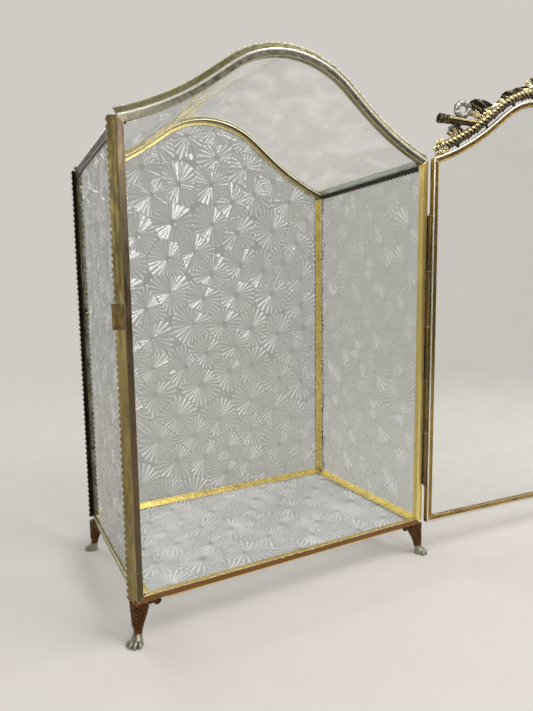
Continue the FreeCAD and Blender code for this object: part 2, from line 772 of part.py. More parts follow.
def arched_pane(label, inset, y, bottom):
    """Flat pane with the ogee top, its edge moved in from the ridge outline by inset."""
    body = new_body(label)
    low = f"{bottom} - {ARCH_RISE} - case_height"
    outline = ogee_sketch(body, "outline", inset, f"{HALF_W} - {inset}", low)
    slab = pad(body, outline, "glass_thickness", both_ways=True)
    mirror_sides(body, slab)
    place(body, y=y, z=CROWN_Z)
    return finish(label, body)


back_y = f"({HALF_D} - {STRIP} - glass_thickness / 2)"
arched_pane("back_glass", PANE_OUT, back_y, f"({STRIP} + glass_clearance)")


# Door, drawn shut and then turned about its hinge
def hang_on_hinge(feature, z="0", y="0"):
    """Turn a feature of the door, drawn shut at y and z, about the hinge axis by the opening angle."""
    turn = "(door_open_angle)"
    place(
        feature,
        f"{HINGE_X} - {HINGE_X} * cos{turn} + ({HINGE_Y} - ({y})) * sin{turn}",
        f"{HINGE_Y} - {HINGE_X} * sin{turn} - ({HINGE_Y} - ({y})) * cos{turn}",
        z,
    )
    bind(feature, Placement__Rotation__Angle=turn)


def door_section(out):
    """Corners (across, depth) of the door's channel, which is open towards the pane."""
    return [
        (out("0"), DOOR_IN),
        (out("0"), DOOR_OUT),
        (out("door_strip_width"), DOOR_OUT),
        (out("door_strip_width"), f"{DOOR_OUT} + {STRIP}"),
        (out(STRIP), f"{DOOR_OUT} + {STRIP}"),
        (out(STRIP), f"{DOOR_IN} - {STRIP}"),
        (out("door_strip_width"), f"{DOOR_IN} - {STRIP}"),
        (out("door_strip_width"), DOOR_IN),
    ]


DOOR_HEIGHT = "(case_height + door_arch_rise - door_bottom_gap)"
DOOR_CROWN_Z = f"{CROWN_Z} + door_arch_rise"
DOOR_Z = "foot_height + door_bottom_gap"
MITRE_REACH = f"(door_strip_width + {STRIP})"
for side, label in ((1, "door_stile_hinge"), (-1, "door_stile_free")):
    body = new_body(label)
    corners = door_section(lambda text: signed(side, f"{HALF_W} - {text}"))
    pad(body, polygon(body, "XY_Plane", "section", corners), DOOR_HEIGHT)
    inner_x = signed(side, f"{HALF_W} - {MITRE_REACH}")
    top = [
        (signed(side, HALF_W), DOOR_HEIGHT),
        (inner_x, DOOR_HEIGHT),
        (inner_x, f"{DOOR_HEIGHT} - {MITRE_DROP} * {MITRE_REACH}"),
    ]
    bottom = [(signed(side, HALF_W), "0"), (inner_x, "0"), (inner_x, MITRE_REACH)]
    cut_through(body, polygon(body, "XZ_Plane", "mitres", top, bottom))
    hang_on_hinge(body, DOOR_Z)
    finish(label, body)

door_arch = sweep_arch(
    "door_arch", section(swapped(door_section(downwards))), [shoulder_mitre("door_strip_width")],
)
hang_on_hinge(door_arch, DOOR_CROWN_Z)
finish("door_arch", door_arch)

body = new_body("door_bottom_rail")
corners = swapped(door_section(upwards))
pad(body, polygon(body, "YZ_Plane", "section", corners), "case_width", both_ways=True)
ends = []
for side in (1, -1):
    ends.append([
        (signed(side, HALF_W), "0"),
        (signed(side, f"{HALF_W} - {MITRE_REACH}"), MITRE_REACH),
        (signed(side, HALF_W), MITRE_REACH),
    ])
cut_through(body, polygon(body, "XZ_Plane", "mitres", *ends))
hang_on_hinge(body, DOOR_Z)
finish("door_bottom_rail", body)

door_sill = f"door_bottom_gap + {DOOR_GLASS_EDGE} - door_arch_rise"
door_glass = arched_pane("door_glass", DOOR_GLASS_EDGE, DOOR_MID, door_sill)
hang_on_hinge(door_glass, DOOR_CROWN_Z, DOOR_MID)


# Solids from primitives
def box(name, low, spans):
    feature = doc.addObject("Part::Box", name)
    bind(feature, Length=spans[0], Width=spans[1], Height=spans[2])
    place(feature, *low)
    return feature


def cylinder(name, radius, height, x="0", y="0", z="0"):
    feature = doc.addObject("Part::Cylinder", name)
    bind(feature, Radius=radius, Height=height)
    place(feature, x, y, z)
    return feature


def ellipsoid(name, spans, x="0", y="0", z="0"):
    """Ellipsoid of given spans along X, Y and Z."""
    feature = doc.addObject("Part::Ellipsoid", name)
    bind(feature, Radius1=f"{spans[2]} / 2", Radius2=f"{spans[0]} / 2", Radius3=f"{spans[1]} / 2")
    place(feature, x, y, z)
    return feature


def fuse(name, features):
    feature = doc.addObject("Part::MultiFuse", name)
    feature.Shapes = features
    return feature


def cut(name, base, tool):
    feature = doc.addObject("Part::Cut", name)
    feature.Base = base
    feature.Tool = tool
    return feature


# Hinge leaves are drawn round the hinge axis, with the leaf on their +Y side at the seat's distance
def hinge_leaf(label, seat, strip_from, strip_to, first, bridge_x):
    """Leaf strip with every second knuckle, first being the lowest of its own."""
    leaf_low = (strip_from, f"{seat} - hinge_leaf_thickness", "0")
    leaf_spans = (f"({strip_to}) - ({strip_from})", "hinge_leaf_thickness", HINGE_LENGTH)
    solids = [box(f"{label}_strip", leaf_low, leaf_spans)]
    for index in range(first, KNUCKLES, 2):
        foot = f"{index} * knuckle_length + knuckle_gap / 2"
        length = "knuckle_length - knuckle_gap"
        solids.append(cylinder(f"{label}_tube_{index}", "hinge_tube_diameter / 2", length, z=foot))
        bridge = ("hinge_bridge_width", seat, length)
        solids.append(box(f"{label}_bridge_{index}", (bridge_x, "0", foot), bridge))
    bore = cylinder(f"{label}_bore", "hinge_pin_diameter / 2 + hinge_pin_clearance", HINGE_LENGTH)
    return cut(label, fuse(f"{label}_solids", solids), bore)


# The case's leaf lies on the hinge post's flange, the door's leaf on the stile's outer edge
CASE_SEAT = "(hinge_out * sin(flange_splay) + hinge_forward * cos(flange_splay))"
RIDGE_BACK = "(hinge_out * cos(flange_splay) - hinge_forward * sin(flange_splay))"
TUBE = "hinge_tube_diameter / 2"
case_leaf = hinge_leaf(
    "hinge_leaf_case", CASE_SEAT, f"-{RIDGE_BACK}", f"hinge_flange_length - {RIDGE_BACK}",
    0, f"{TUBE} - hinge_bridge_width",
)
place(case_leaf, HINGE_X, HINGE_Y, "foot_height + hinge_bottom")
bind(case_leaf, Placement__Rotation__Angle="flange_splay")
finish("hinge_leaf_case", case_leaf)

door_leaf = hinge_leaf(
    "hinge_leaf_door", "hinge_out", f"{DOOR_OUT} - {HINGE_Y}", f"{DOOR_IN} - {HINGE_Y}",
    1, f"-{TUBE}",
)
place(door_leaf, HINGE_X, HINGE_Y, "foot_height + hinge_bottom")
bind(door_leaf, Placement__Rotation__Angle="90 + door_open_angle")
finish("hinge_leaf_door", door_leaf)

pin_bottom = "foot_height + hinge_bottom - hinge_pin_overhang"
pin_length = f"{HINGE_LENGTH} + 2 * hinge_pin_overhang"
finish("hinge_pin", cylinder("hinge_pin", "hinge_pin_diameter / 2", pin_length, HINGE_X, HINGE_Y, pin_bottom))


# Spring catch: a strip folded round the left front flange, with a tongue beside the closed door
def by_flange(along, off):
    """Plan point on the left front post, along its flange from the ridge and off its front face."""
    x = f"-{HALF_W} - ({along}) * cos(flange_splay) - ({off}) * sin(flange_splay)"
    y = f"-{HALF_D} + ({along}) * sin(flange_splay) - ({off}) * cos(flange_splay)"
    return x, y


def beside_door(gap, off):
    """Plan point at a gap beside the closed door's edge, off the flange's front face."""
    along = f"(({gap}) - ({off}) * sin(flange_splay)) / cos(flange_splay)"
    return by_flange(along, off)


body = new_body("catch_clip")
near, far = "glass_clearance", f"glass_clearance + {STRIP}"
behind, far_behind = f"-{STRIP} - glass_clearance", f"-2 * {STRIP} - glass_clearance"
tongue_y = f"-{HALF_D} - catch_tongue"
corners = [
    (f"-{HALF_W} - catch_door_gap", tongue_y),
    (f"-{HALF_W} - catch_door_gap - {STRIP}", tongue_y),
    beside_door(f"catch_door_gap + {STRIP}", far),
    by_flange(f"flange_length + {far}", far),
    by_flange(f"flange_length + {far}", far_behind),
    by_flange("flange_length - catch_hook", far_behind),
    by_flange("flange_length - catch_hook", behind),
    by_flange(f"flange_length + {near}", behind),
    by_flange(f"flange_length + {near}", near),
    beside_door("catch_door_gap", near),
]
pad(body, polygon(body, "XY_Plane", "section", corners), "catch_height")
place(body, z="foot_height + catch_bottom")
finish("catch_clip", body)


# Feet, drawn with the toes towards +X and the corner's upright through the origin
def leg(name):
    """Square leg that narrows downwards, its outer corner upright under the case's corner."""
    stations = [
        ("leg_top_reach", "foot_height"),
        ("knee_reach", "knee_height"),
        ("ankle_reach", "ankle_height"),
        ("ankle_reach", "paw_height / 2 - paw_sink"),
    ]
    squares = []
    for index, (reach, z) in enumerate(stations):
        square = doc.addObject("Part::RegularPolygon", f"{name}_square_{index}")
        square.Polygon = 4
        bind(square, Circumradius=reach)
        place(square, f"leg_corner - {reach}", "0", z)
        squares.append(square)
    loft = doc.addObject("Part::Loft", f"{name}_leg")
    loft.Sections = squares
    loft.Solid = True
    loft.Ruled = True
    return loft


def foot(label, right, back):
    solids = [leg(label)]
    paw = ("paw_length", "paw_width", "paw_height")
    solids.append(ellipsoid(f"{label}_paw", paw, "paw_out", "0", "paw_height / 2 - paw_sink"))
    for index in range(TOES):
        fan = TOE_FAN * (index / (TOES - 1) - 0.5)
        toe = ("3 * toe_radius", "2 * toe_radius", "2 * toe_radius")
        x, y = f"paw_out + toe_reach * cos({fan})", f"toe_reach * sin({fan})"
        solid = ellipsoid(f"{label}_toe_{index}", toe, x, y, "toe_radius - toe_sink")
        bind(solid, Placement__Rotation__Angle=fan)
        solids.append(solid)
    for way in (1, -1):
        ear = box(
            f"{label}_ear_{way + 1}", ("0", "0", "foot_height - foot_ear_height"),
            ("foot_ear_length", "foot_ear_thickness", "foot_ear_height"),
        )
        scroll = cylinder(f"{label}_scroll_{way + 1}", "foot_scroll_radius", "foot_ear_thickness")
        turn = 135 * way
        bind(ear, Placement__Rotation__Angle=turn)
        shift = "foot_ear_thickness / 2"
        place(
            ear, f"{shift} * sin({turn})", f"-{shift} * cos({turn})", "foot_height - foot_ear_height",
        )
        scroll.Placement.Rotation = Rotation(Vector(0, 0, 1), turn) * Rotation(Vector(1, 0, 0), 90)
        place(
            scroll,
            f"foot_ear_length * cos({turn}) - {shift} * sin({turn})",
            f"foot_ear_length * sin({turn}) + {shift} * cos({turn})",
            "foot_height - foot_scroll_radius",
        )
        solids += [ear, scroll]
    below = cylinder(f"{label}_floor", "2 * foot_height", "paw_height", z="-paw_height")
    feature = cut(label, fuse(f"{label}_solids", solids), below)
    place(feature, signed(right, f"{HALF_W} - foot_side_inset"), signed(back, f"{HALF_D} - foot_inset"))
    bind(feature, Placement__Rotation__Angle=math.degrees(math.atan2(back, right)))
    return finish(label, feature)


for back, depth_word in ((-1, "front"), (1, "back")):
    for right, hand in ((-1, "left"), (1, "right")):
        foot(f"foot_{depth_word}_{hand}", right, back)


# Crest, one casting: a rope along the arch on short stays, with ribbon rings, torches, leaves and a palmette
def rope_profile(body):
    sketch = new_sketch(body, "YZ_Plane", "profile")
    ring = sketch.addGeometry(Part.Circle(Vector(0, 0, 0), Vector(0, 0, 1), size.rope_diameter / 2), False)
    constrain(sketch, "Radius", ring, size.rope_diameter / 2, to="rope_diameter / 2")
    constrain(sketch, "DistanceX", -1, 1, ring, 3, 0.0, to=DOOR_MID)
    constrain(sketch, "DistanceY", -1, 1, ring, 3, 0.0, to="rope_offset")
    return sketch


def upright_between(name, low, high, radius, tip=None):
    """Round bar between two points (x, z) in the door's middle plane, tapered where a tip is given."""
    foot_at, head_at = Vector(low[0], 0, low[1]), Vector(high[0], 0, high[1])
    kind = "Part::Cylinder" if tip is None else "Part::Cone"
    feature = doc.addObject(kind, name)
    if tip is None:
        bind(feature, Radius=radius, Height=str((head_at - foot_at).Length))
    else:
        bind(feature, Radius1=radius, Radius2=tip, Height=str((head_at - foot_at).Length))
    feature.Placement.Base = foot_at
    feature.Placement.Rotation = Rotation(Vector(0, 0, 1), head_at - foot_at)
    bind(feature, Placement__Base__y=DOOR_MID)
    return feature


def disc(name, diameter, depth, x, z):
    """Flat disc facing the front, in the door's middle plane."""
    feature = doc.addObject("Part::Cylinder", name)
    bind(feature, Radius=f"{diameter} / 2", Height=depth)
    feature.Placement = FreeCAD.Placement(Vector(x, 0, z), Rotation(Vector(1, 0, 0), 90))
    bind(feature, Placement__Base__y=f"{DOOR_MID} + {depth} / 2")
    return feature


def leaf(name, root, tip, width, depth):
    """Pointed leaf plate from a root (x, z) to a tip (x, z), in the door's middle plane."""
    root, tip = Vector(root[0], 0, root[1]), Vector(tip[0], 0, tip[1])
    across = (tip - root).cross(Vector(0, 1, 0)).normalize() * (width / 2)
    middle = (root + tip) / 2
    edges = [Part.Arc(root, middle + across, tip), Part.Arc(tip, middle - across, root)]
    outline = Part.Wire([edge.toShape() for edge in edges])
    feature = doc.addObject("Part::Feature", name)
    feature.Shape = Part.Face(outline).extrude(Vector(0, depth, 0))
    feature.Placement.Base = Vector(0, -depth / 2, 0)
    bind(feature, Placement__Base__y=f"{DOOR_MID} - {depth} / 2")
    return feature


trim = beyond(f"{HALF_W} - rope_end_inset", "(4 * rope_offset)")
rope = sweep_arch("crest_rope", rope_profile, [trim])
crest = [rope]
half_rope = half_stretch - size.rope_end_inset
stays = 2 * int(half_rope / size.stay_spacing) + 1
for index in range(stays):
    way = (index - (stays - 1) / 2) * size.stay_spacing
    ends = [ogee_at(way, out) for out in (size.glass_clearance, size.rope_offset - size.door_arch_rise)]
    low, high = [(x, z + size.door_arch_rise) for x, z in ends]
    crest.append(upright_between(f"crest_stay_{index}", low, high, "stay_diameter / 2"))

shoulder_z = size.foot_height + size.case_height
in_rope = size.rope_offset - size.rope_diameter / 4
for side in (1, -1):
    tag = "hinge" if side > 0 else "free"
    edge_x = side * size.case_width / 2
    # Rosette at the end of the rope
    flower_at = ogee_at(side * (half_stretch - size.rosette_inset), size.rosette_offset)
    crest.append(disc(f"crest_rosette_{tag}", "rosette_diameter", "rosette_depth", *flower_at))
    crest.append(disc(f"crest_boss_{tag}", "boss_diameter", "boss_depth", *flower_at))
    # Ribbon ring that stands on the torch
    ring_at = Vector(edge_x - side * size.ring_inset, 0, shoulder_z + size.ring_rise)
    ring = doc.addObject("Part::Torus", f"crest_ring_{tag}")
    bind(ring, Radius1="ring_radius", Radius2="ring_wire")
    ring.Placement = FreeCAD.Placement(ring_at, Rotation(Vector(1, 0, 0), 90))
    bind(ring, Placement__Base__y=DOOR_MID)
    crest.append(ring)
    # Torch lying level, its tip in the rope
    butt = (edge_x - side * size.torch_inset, shoulder_z + size.torch_rise)
    tip = (butt[0] - side * size.torch_length, butt[1])
    crest.append(upright_between(f"crest_torch_{tag}", butt, tip, "torch_butt_radius", "torch_tip_radius"))
    # Ribbon tail from the rope up to the torch, and leaves from the rope to the ring and the palmette
    leaves = {
        "tail": (ogee_at(side * (half_stretch - size.tail_leaf_way), in_rope), (ring_at.x, butt[1])),
        "side": (
            ogee_at(side * size.side_leaf_way, in_rope),
            (ring_at.x - side * size.ring_radius, ring_at.z),
        ),
        "top": (
            ogee_at(side * size.top_leaf_way, in_rope),
            ogee_at(side * (size.top_leaf_way - size.top_leaf_run), in_rope + size.top_leaf_rise),
        ),
        "crown": (
            ogee_at(side * size.crown_leaf_way, in_rope),
            ogee_at(side * (size.crown_leaf_way - size.crown_leaf_run), in_rope + size.crown_leaf_rise),
        ),
    }
    for word, (root, tip) in leaves.items():
        crest.append(leaf(f"crest_{word}_leaf_{tag}", root, tip, size.leaf_width, size.leaf_depth))

# Palmette over the crown
root = ogee_at(0, in_rope)
for index in range(PALMETTE_LOBES):
    turn = math.radians(90 - size.palmette_spread * (index - (PALMETTE_LOBES - 1) / 2))
    tip = (root[0] + size.palmette_height * math.cos(turn), root[1] + size.palmette_height * math.sin(turn))
    crest.append(leaf(f"crest_lobe_{index}", root, tip, size.palmette_lobe_width, size.palmette_depth))

door_crest = fuse("door_crest", crest)
hang_on_hinge(door_crest)
finish("door_crest", door_crest)

# Check every object, then write one file for each sub-part
doc.recompute()
for item in doc.Objects:
    if "Invalid" in item.State or "Error" in item.State:
        raise RuntimeError(f"{item.Label} failed: {item.State}")
for label, feature in finished.items():
    shape = feature.Shape
    if shape.isNull() or not shape.isValid() or not shape.Solids:
        raise RuntimeError(f"{label} has no valid solid")
    print(f"{label}: {len(shape.Solids)} solid, {shape.Volume:.1f} mm3, {len(shape.Faces)} faces")
os.makedirs("parts", exist_ok=True)
for label, feature in finished.items():
    feature.Shape.exportStep(f"parts/{label}.step")
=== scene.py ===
"""Looks of the glass display case: brass strip frame, pressed and clear panes, cast crest and cast feet.

Everything is in metres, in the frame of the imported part. Sizes in the classes are in millimetres.
"""

from __future__ import annotations

import json
import logging
import math
import random
from dataclasses import dataclass, field, replace
from enum import Enum
from itertools import accumulate
from typing import Any, Callable, Sequence

import bmesh
import bpy
from mathutils import Matrix, Vector
from mathutils.geometry import delaunay_2d_cdt
from mathutils.kdtree import KDTree

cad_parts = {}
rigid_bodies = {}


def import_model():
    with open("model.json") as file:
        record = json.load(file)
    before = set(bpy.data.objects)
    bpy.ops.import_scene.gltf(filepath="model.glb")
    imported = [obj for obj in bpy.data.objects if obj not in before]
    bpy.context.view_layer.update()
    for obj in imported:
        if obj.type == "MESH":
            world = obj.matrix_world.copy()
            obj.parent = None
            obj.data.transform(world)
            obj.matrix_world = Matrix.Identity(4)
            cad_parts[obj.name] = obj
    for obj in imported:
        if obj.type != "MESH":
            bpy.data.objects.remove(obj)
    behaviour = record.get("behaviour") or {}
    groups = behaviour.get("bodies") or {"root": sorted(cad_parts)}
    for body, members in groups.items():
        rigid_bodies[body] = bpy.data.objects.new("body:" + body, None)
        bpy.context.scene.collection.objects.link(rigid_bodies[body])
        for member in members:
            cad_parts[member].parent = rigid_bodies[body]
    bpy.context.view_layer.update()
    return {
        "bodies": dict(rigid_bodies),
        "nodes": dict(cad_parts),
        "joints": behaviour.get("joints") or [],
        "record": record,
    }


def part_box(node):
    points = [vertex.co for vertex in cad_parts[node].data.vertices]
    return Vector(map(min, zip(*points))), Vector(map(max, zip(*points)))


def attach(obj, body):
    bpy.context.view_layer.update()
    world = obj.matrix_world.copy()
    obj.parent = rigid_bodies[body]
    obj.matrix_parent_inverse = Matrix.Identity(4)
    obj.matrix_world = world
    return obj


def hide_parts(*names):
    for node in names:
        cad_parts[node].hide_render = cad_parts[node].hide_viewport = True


LOG = logging.getLogger("display_case")
MM = 0.001
Point = tuple[float, float]
Place = tuple[float, float, float]
Piece = bpy.types.Object
Tree = bpy.types.NodeTree
Node = bpy.types.Node
Socket = bpy.types.NodeSocket
Finishes = dict[str, bpy.types.Material]

# The door's hinge line in plan, and how far the door stands open at rest
HINGE = (116.6, -73.2)
REST_ANGLE = math.radians(175.3)
# Folds sharper than this stay crisp under smooth shading
SHARP_FOLD = math.radians(50)
# Value of the attribute ridge in the smooth heart of a starburst, where no dust shows
CLEAR_HEART = -0.6


class Body(Enum):
    """The two bodies that the pieces ride on."""

    CASE = "case"
    DOOR = "door"


class Slot(Enum):
    """Material slots of the record."""

    AGED = "aged_brass"
    BRIGHT = "bright_brass"
    CAST = "cast_brass"
    PRESSED = "pressed_glass"


# Workbench: small steps that every piece is made with


def start(kind: str, **sizes: Any) -> Piece:
    """Add a mesh primitive alone on the bench, with its place in its mesh.

    Args:
        kind: Name of the primitive, such as cube or uv_sphere.
        sizes: The operator's own sizes, in metres.

    Returns:
        The new object.
    """
    bpy.ops.object.select_all(action="DESELECT")
    getattr(bpy.ops.mesh, f"primitive_{kind}_add")(**sizes)
    if "location" in sizes:
        bpy.ops.object.transform_apply(location=True)
    return bpy.context.object


def hold(piece: Piece) -> None:
    """Make a piece the only selected one, in object mode.

    Args:
        piece: The piece to hold.
    """
    if bpy.context.object and bpy.context.object.mode != "OBJECT":
        bpy.ops.object.mode_set(mode="OBJECT")
    bpy.ops.object.select_all(action="DESELECT")
    bpy.context.view_layer.objects.active = piece
    piece.select_set(True)


def whole(_: Vector) -> bool:
    """Test for pick that takes every vertex."""
    return True


def pick(piece: Piece, test: Callable[[Vector], bool]) -> None:
    """Open a piece in edit mode with the vertices selected that pass a test.

    Args:
        piece: The piece to work on.
        test: Says of a vertex's place whether it is selected.
    """
    if piece.mode != "EDIT":
        hold(piece)
        bpy.ops.object.mode_set(mode="EDIT")
        bpy.ops.mesh.select_mode(type="VERT")
    mesh = bmesh.from_edit_mesh(piece.data)
    for vert in mesh.verts:
        vert.select = test(vert.co)
    mesh.select_flush(True)
    mesh.select_flush(False)
    bmesh.update_edit_mesh(piece.data)


def stretch(
    piece: Piece, test: Callable[[Vector], bool], factors: Sequence[float], centre: Sequence[float]
) -> None:
    """Scale a part of a piece in edit mode.

    Args:
        piece: The piece to work on.
        test: Says of a vertex's place whether it is scaled.
        factors: Scale along each axis.
        centre: The point that stays, in the mesh's own units.
    """
    pick(piece, test)
    bpy.ops.transform.resize(value=factors, center_override=centre)


def turn_outward(piece: Piece) -> None:
    """Turn all faces of a piece outward and put it down.

    Args:
        piece: The piece to turn.
    """
    pick(piece, whole)
    bpy.ops.mesh.normals_make_consistent(inside=False)
    hold(piece)


def ringed(sides: int, rings: Sequence[tuple[float, Place]]) -> Piece:
    """Closed body drawn out of a disc ring by ring.

    Args:
        sides: Sides of every ring.
        rings: Radius and middle of each ring, in millimetres.

    Returns:
        The body.
    """
    (radius, middle), *others = rings
    place = tuple(a * MM for a in middle)
    body = start("circle", vertices=sides, radius=radius * MM, fill_type="NGON", location=place)
    pick(body, whole)
    for wide, centre in others:
        step = tuple((b - a) * MM for a, b in zip(middle, centre))
        bpy.ops.mesh.extrude_region_move(TRANSFORM_OT_translate={"value": step})
        share = wide / radius
        bpy.ops.transform.resize(value=(share, share, 1), center_override=tuple(a * MM for a in centre))
        radius, middle = wide, centre
    turn_outward(body)
    return body


def shade_round(piece: Piece) -> None:
    """Put a piece down and shade it smooth all over."""
    hold(piece)
    bpy.ops.object.shade_smooth()


def shade_folds() -> None:
    """Shade the held piece smooth between its sharp folds."""
    bpy.ops.object.shade_smooth_by_angle(angle=SHARP_FOLD)


def modify(piece: Piece, kind: str, **settings: Any) -> None:
    """Add a modifier to a piece and apply it.

    Args:
        piece: The piece to finish.
        kind: The modifier's type.
        settings: The modifier's own settings.
    """
    hold(piece)
    modifier = piece.modifiers.new(kind.lower(), kind)
    for key, value in settings.items():
        setattr(modifier, key, value)
    bpy.ops.object.modifier_apply(modifier=modifier.name)


def smooth_surface(piece: Piece, levels: int) -> None:
    """Round a piece off with a subdivision surface of some levels."""
    modify(piece, "SUBSURF", levels=levels, render_levels=levels)


def draw_out(ring: Piece, length: float, steps: int, turns: float = 0.0) -> None:
    """Draw a ring out along +Z into a closed bar.

    Args:
        ring: The open ring round the origin.
        length: Length of the bar, in millimetres.
        steps: Sections along it.
        turns: Whole twist over the length.
    """
    modify(
        ring, "SCREW", angle=math.tau * turns, screw_offset=length * MM, steps=steps, render_steps=steps,
        use_merge_vertices=False,
    )
    for end in (0.0, length * MM):
        pick(ring, lambda co: abs(co.z - end) < 1e-6)
        bpy.ops.mesh.edge_face_add()
    turn_outward(ring)


def shift(x: float, y: float, z: float) -> Matrix:
    """Shift by millimetres."""
    return Matrix.Translation(Vector((x, y, z)) * MM)


def about(centre: Vector, move: Matrix) -> Matrix:
    """A turn or a scale about a centre instead of the origin."""
    return Matrix.Translation(centre) @ move @ Matrix.Translation(-centre)


def cast_copy(pattern: Piece, place: Matrix) -> Piece:
    """Copy a pattern piece, with a mesh of its own, to a place.

    Args:
        pattern: The piece modelled once.
        place: Matrix from the pattern's place to the copy's.

    Returns:
        The copy.
    """
    copy = bpy.data.objects.new(pattern.name, pattern.data.copy())
    copy.data.transform(place)
    if place.determinant() < 0:
        copy.data.flip_normals()
    bpy.context.collection.objects.link(copy)
    return copy


def join(pieces: Sequence[Piece]) -> Piece:
    """Join pieces into the first of them.

    Args:
        pieces: The pieces to join.

    Returns:
        The joined piece.
    """
    hold(pieces[0])
    for piece in pieces[1:]:
        piece.select_set(True)
    bpy.ops.object.join()
    return bpy.context.object


def scrap(pattern: Piece) -> None:
    """Take a pattern piece off the bench."""
    bpy.data.objects.remove(pattern)


def upright(start_at: Point, end_at: Point, y: float, side: float = 1.0, depth: float = 1.0) -> Matrix:
    """Place for a pattern that lies along +X, one unit long, in a plane that faces along Y.

    Args:
        start_at: Plan point (x, z) in millimetres where the pattern's foot goes.
        end_at: Plan point (x, z) where its tip goes.
        y: Middle of its thickness, in millimetres.
        side: Scale of its width.
        depth: Scale of its thickness.

    Returns:
        The matrix, in metres.
    """
    along = Vector((end_at[0] - start_at[0], 0.0, end_at[1] - start_at[1])) * MM
    across = Vector((-along.z, 0.0, along.x)).normalized() * side
    through = Vector((0.0, -depth, 0.0))
    turn = Matrix((along, across, through)).transposed().to_4x4()
    return shift(start_at[0], y, start_at[1]) @ turn


# Finishes

# Node settings that recur: a mix of colours, and a range that eases in and out
COLOUR = {"data_type": "RGBA"}
SOFT = {"interpolation_type": "SMOOTHSTEP"}


def linear(code: str) -> tuple[float, float, float, float]:
    """Turn an sRGB hex value to linear.

    Args:
        code: The hex value, with its hash sign.

    Returns:
        Red, green, blue and full cover.
    """
    parts = [int(code[at : at + 2], 16) / 255 for at in (1, 3, 5)]
    red, green, blue = (p / 12.92 if p <= 0.04045 else ((p + 0.055) / 1.055) ** 2.4 for p in parts)
    return red, green, blue, 1.0


def add(tree: Tree, kind: str, feeds: dict | None = None, **settings: Any) -> Node:
    """Add a shader node with its settings, values and links.

    Args:
        tree: The tree that gets the node.
        kind: The node's type, without the common prefix.
        feeds: For each socket, by name or number, what goes in: a value, a hex colour, an output, or a
            node whose first output feeds it.
        settings: Attributes of the node itself.

    Returns:
        The node.
    """
    node = tree.nodes.new("ShaderNode" + kind)
    for key, value in settings.items():
        setattr(node, key, value)
    for key, value in (feeds or {}).items():
        source = value.outputs[0] if isinstance(value, Node) else value
        if isinstance(source, Socket):
            tree.links.new(source, node.inputs[key])
        else:
            node.inputs[key].default_value = linear(source) if isinstance(source, str) else source
    return node


def empty_material(name: str) -> bpy.types.Material:
    """Add a material with an empty tree.

    Args:
        name: The material's name.

    Returns:
        The material.
    """
    material = bpy.data.materials.new(name)
    material.use_nodes = True
    material.node_tree.nodes.clear()
    return material


def backdrop_share(tree: Tree, way: Socket | Node) -> Node:
    """How far a direction looks at the pale backdrop and not at the room before the case."""
    north = add(tree, "SeparateXYZ", {0: way}).outputs["Y"]
    return add(tree, "MapRange", {0: north, 1: -0.4, 2: 0.5}, **SOFT)


def straight_view(tree: Tree, path: bpy.types.NodeOutputs) -> Node:
    """Whether a ray comes from the camera, through glass or not."""
    rays = {0: path["Is Camera Ray"], 1: path["Is Transmission Ray"]}
    return add(tree, "Math", rays, operation="MAXIMUM")


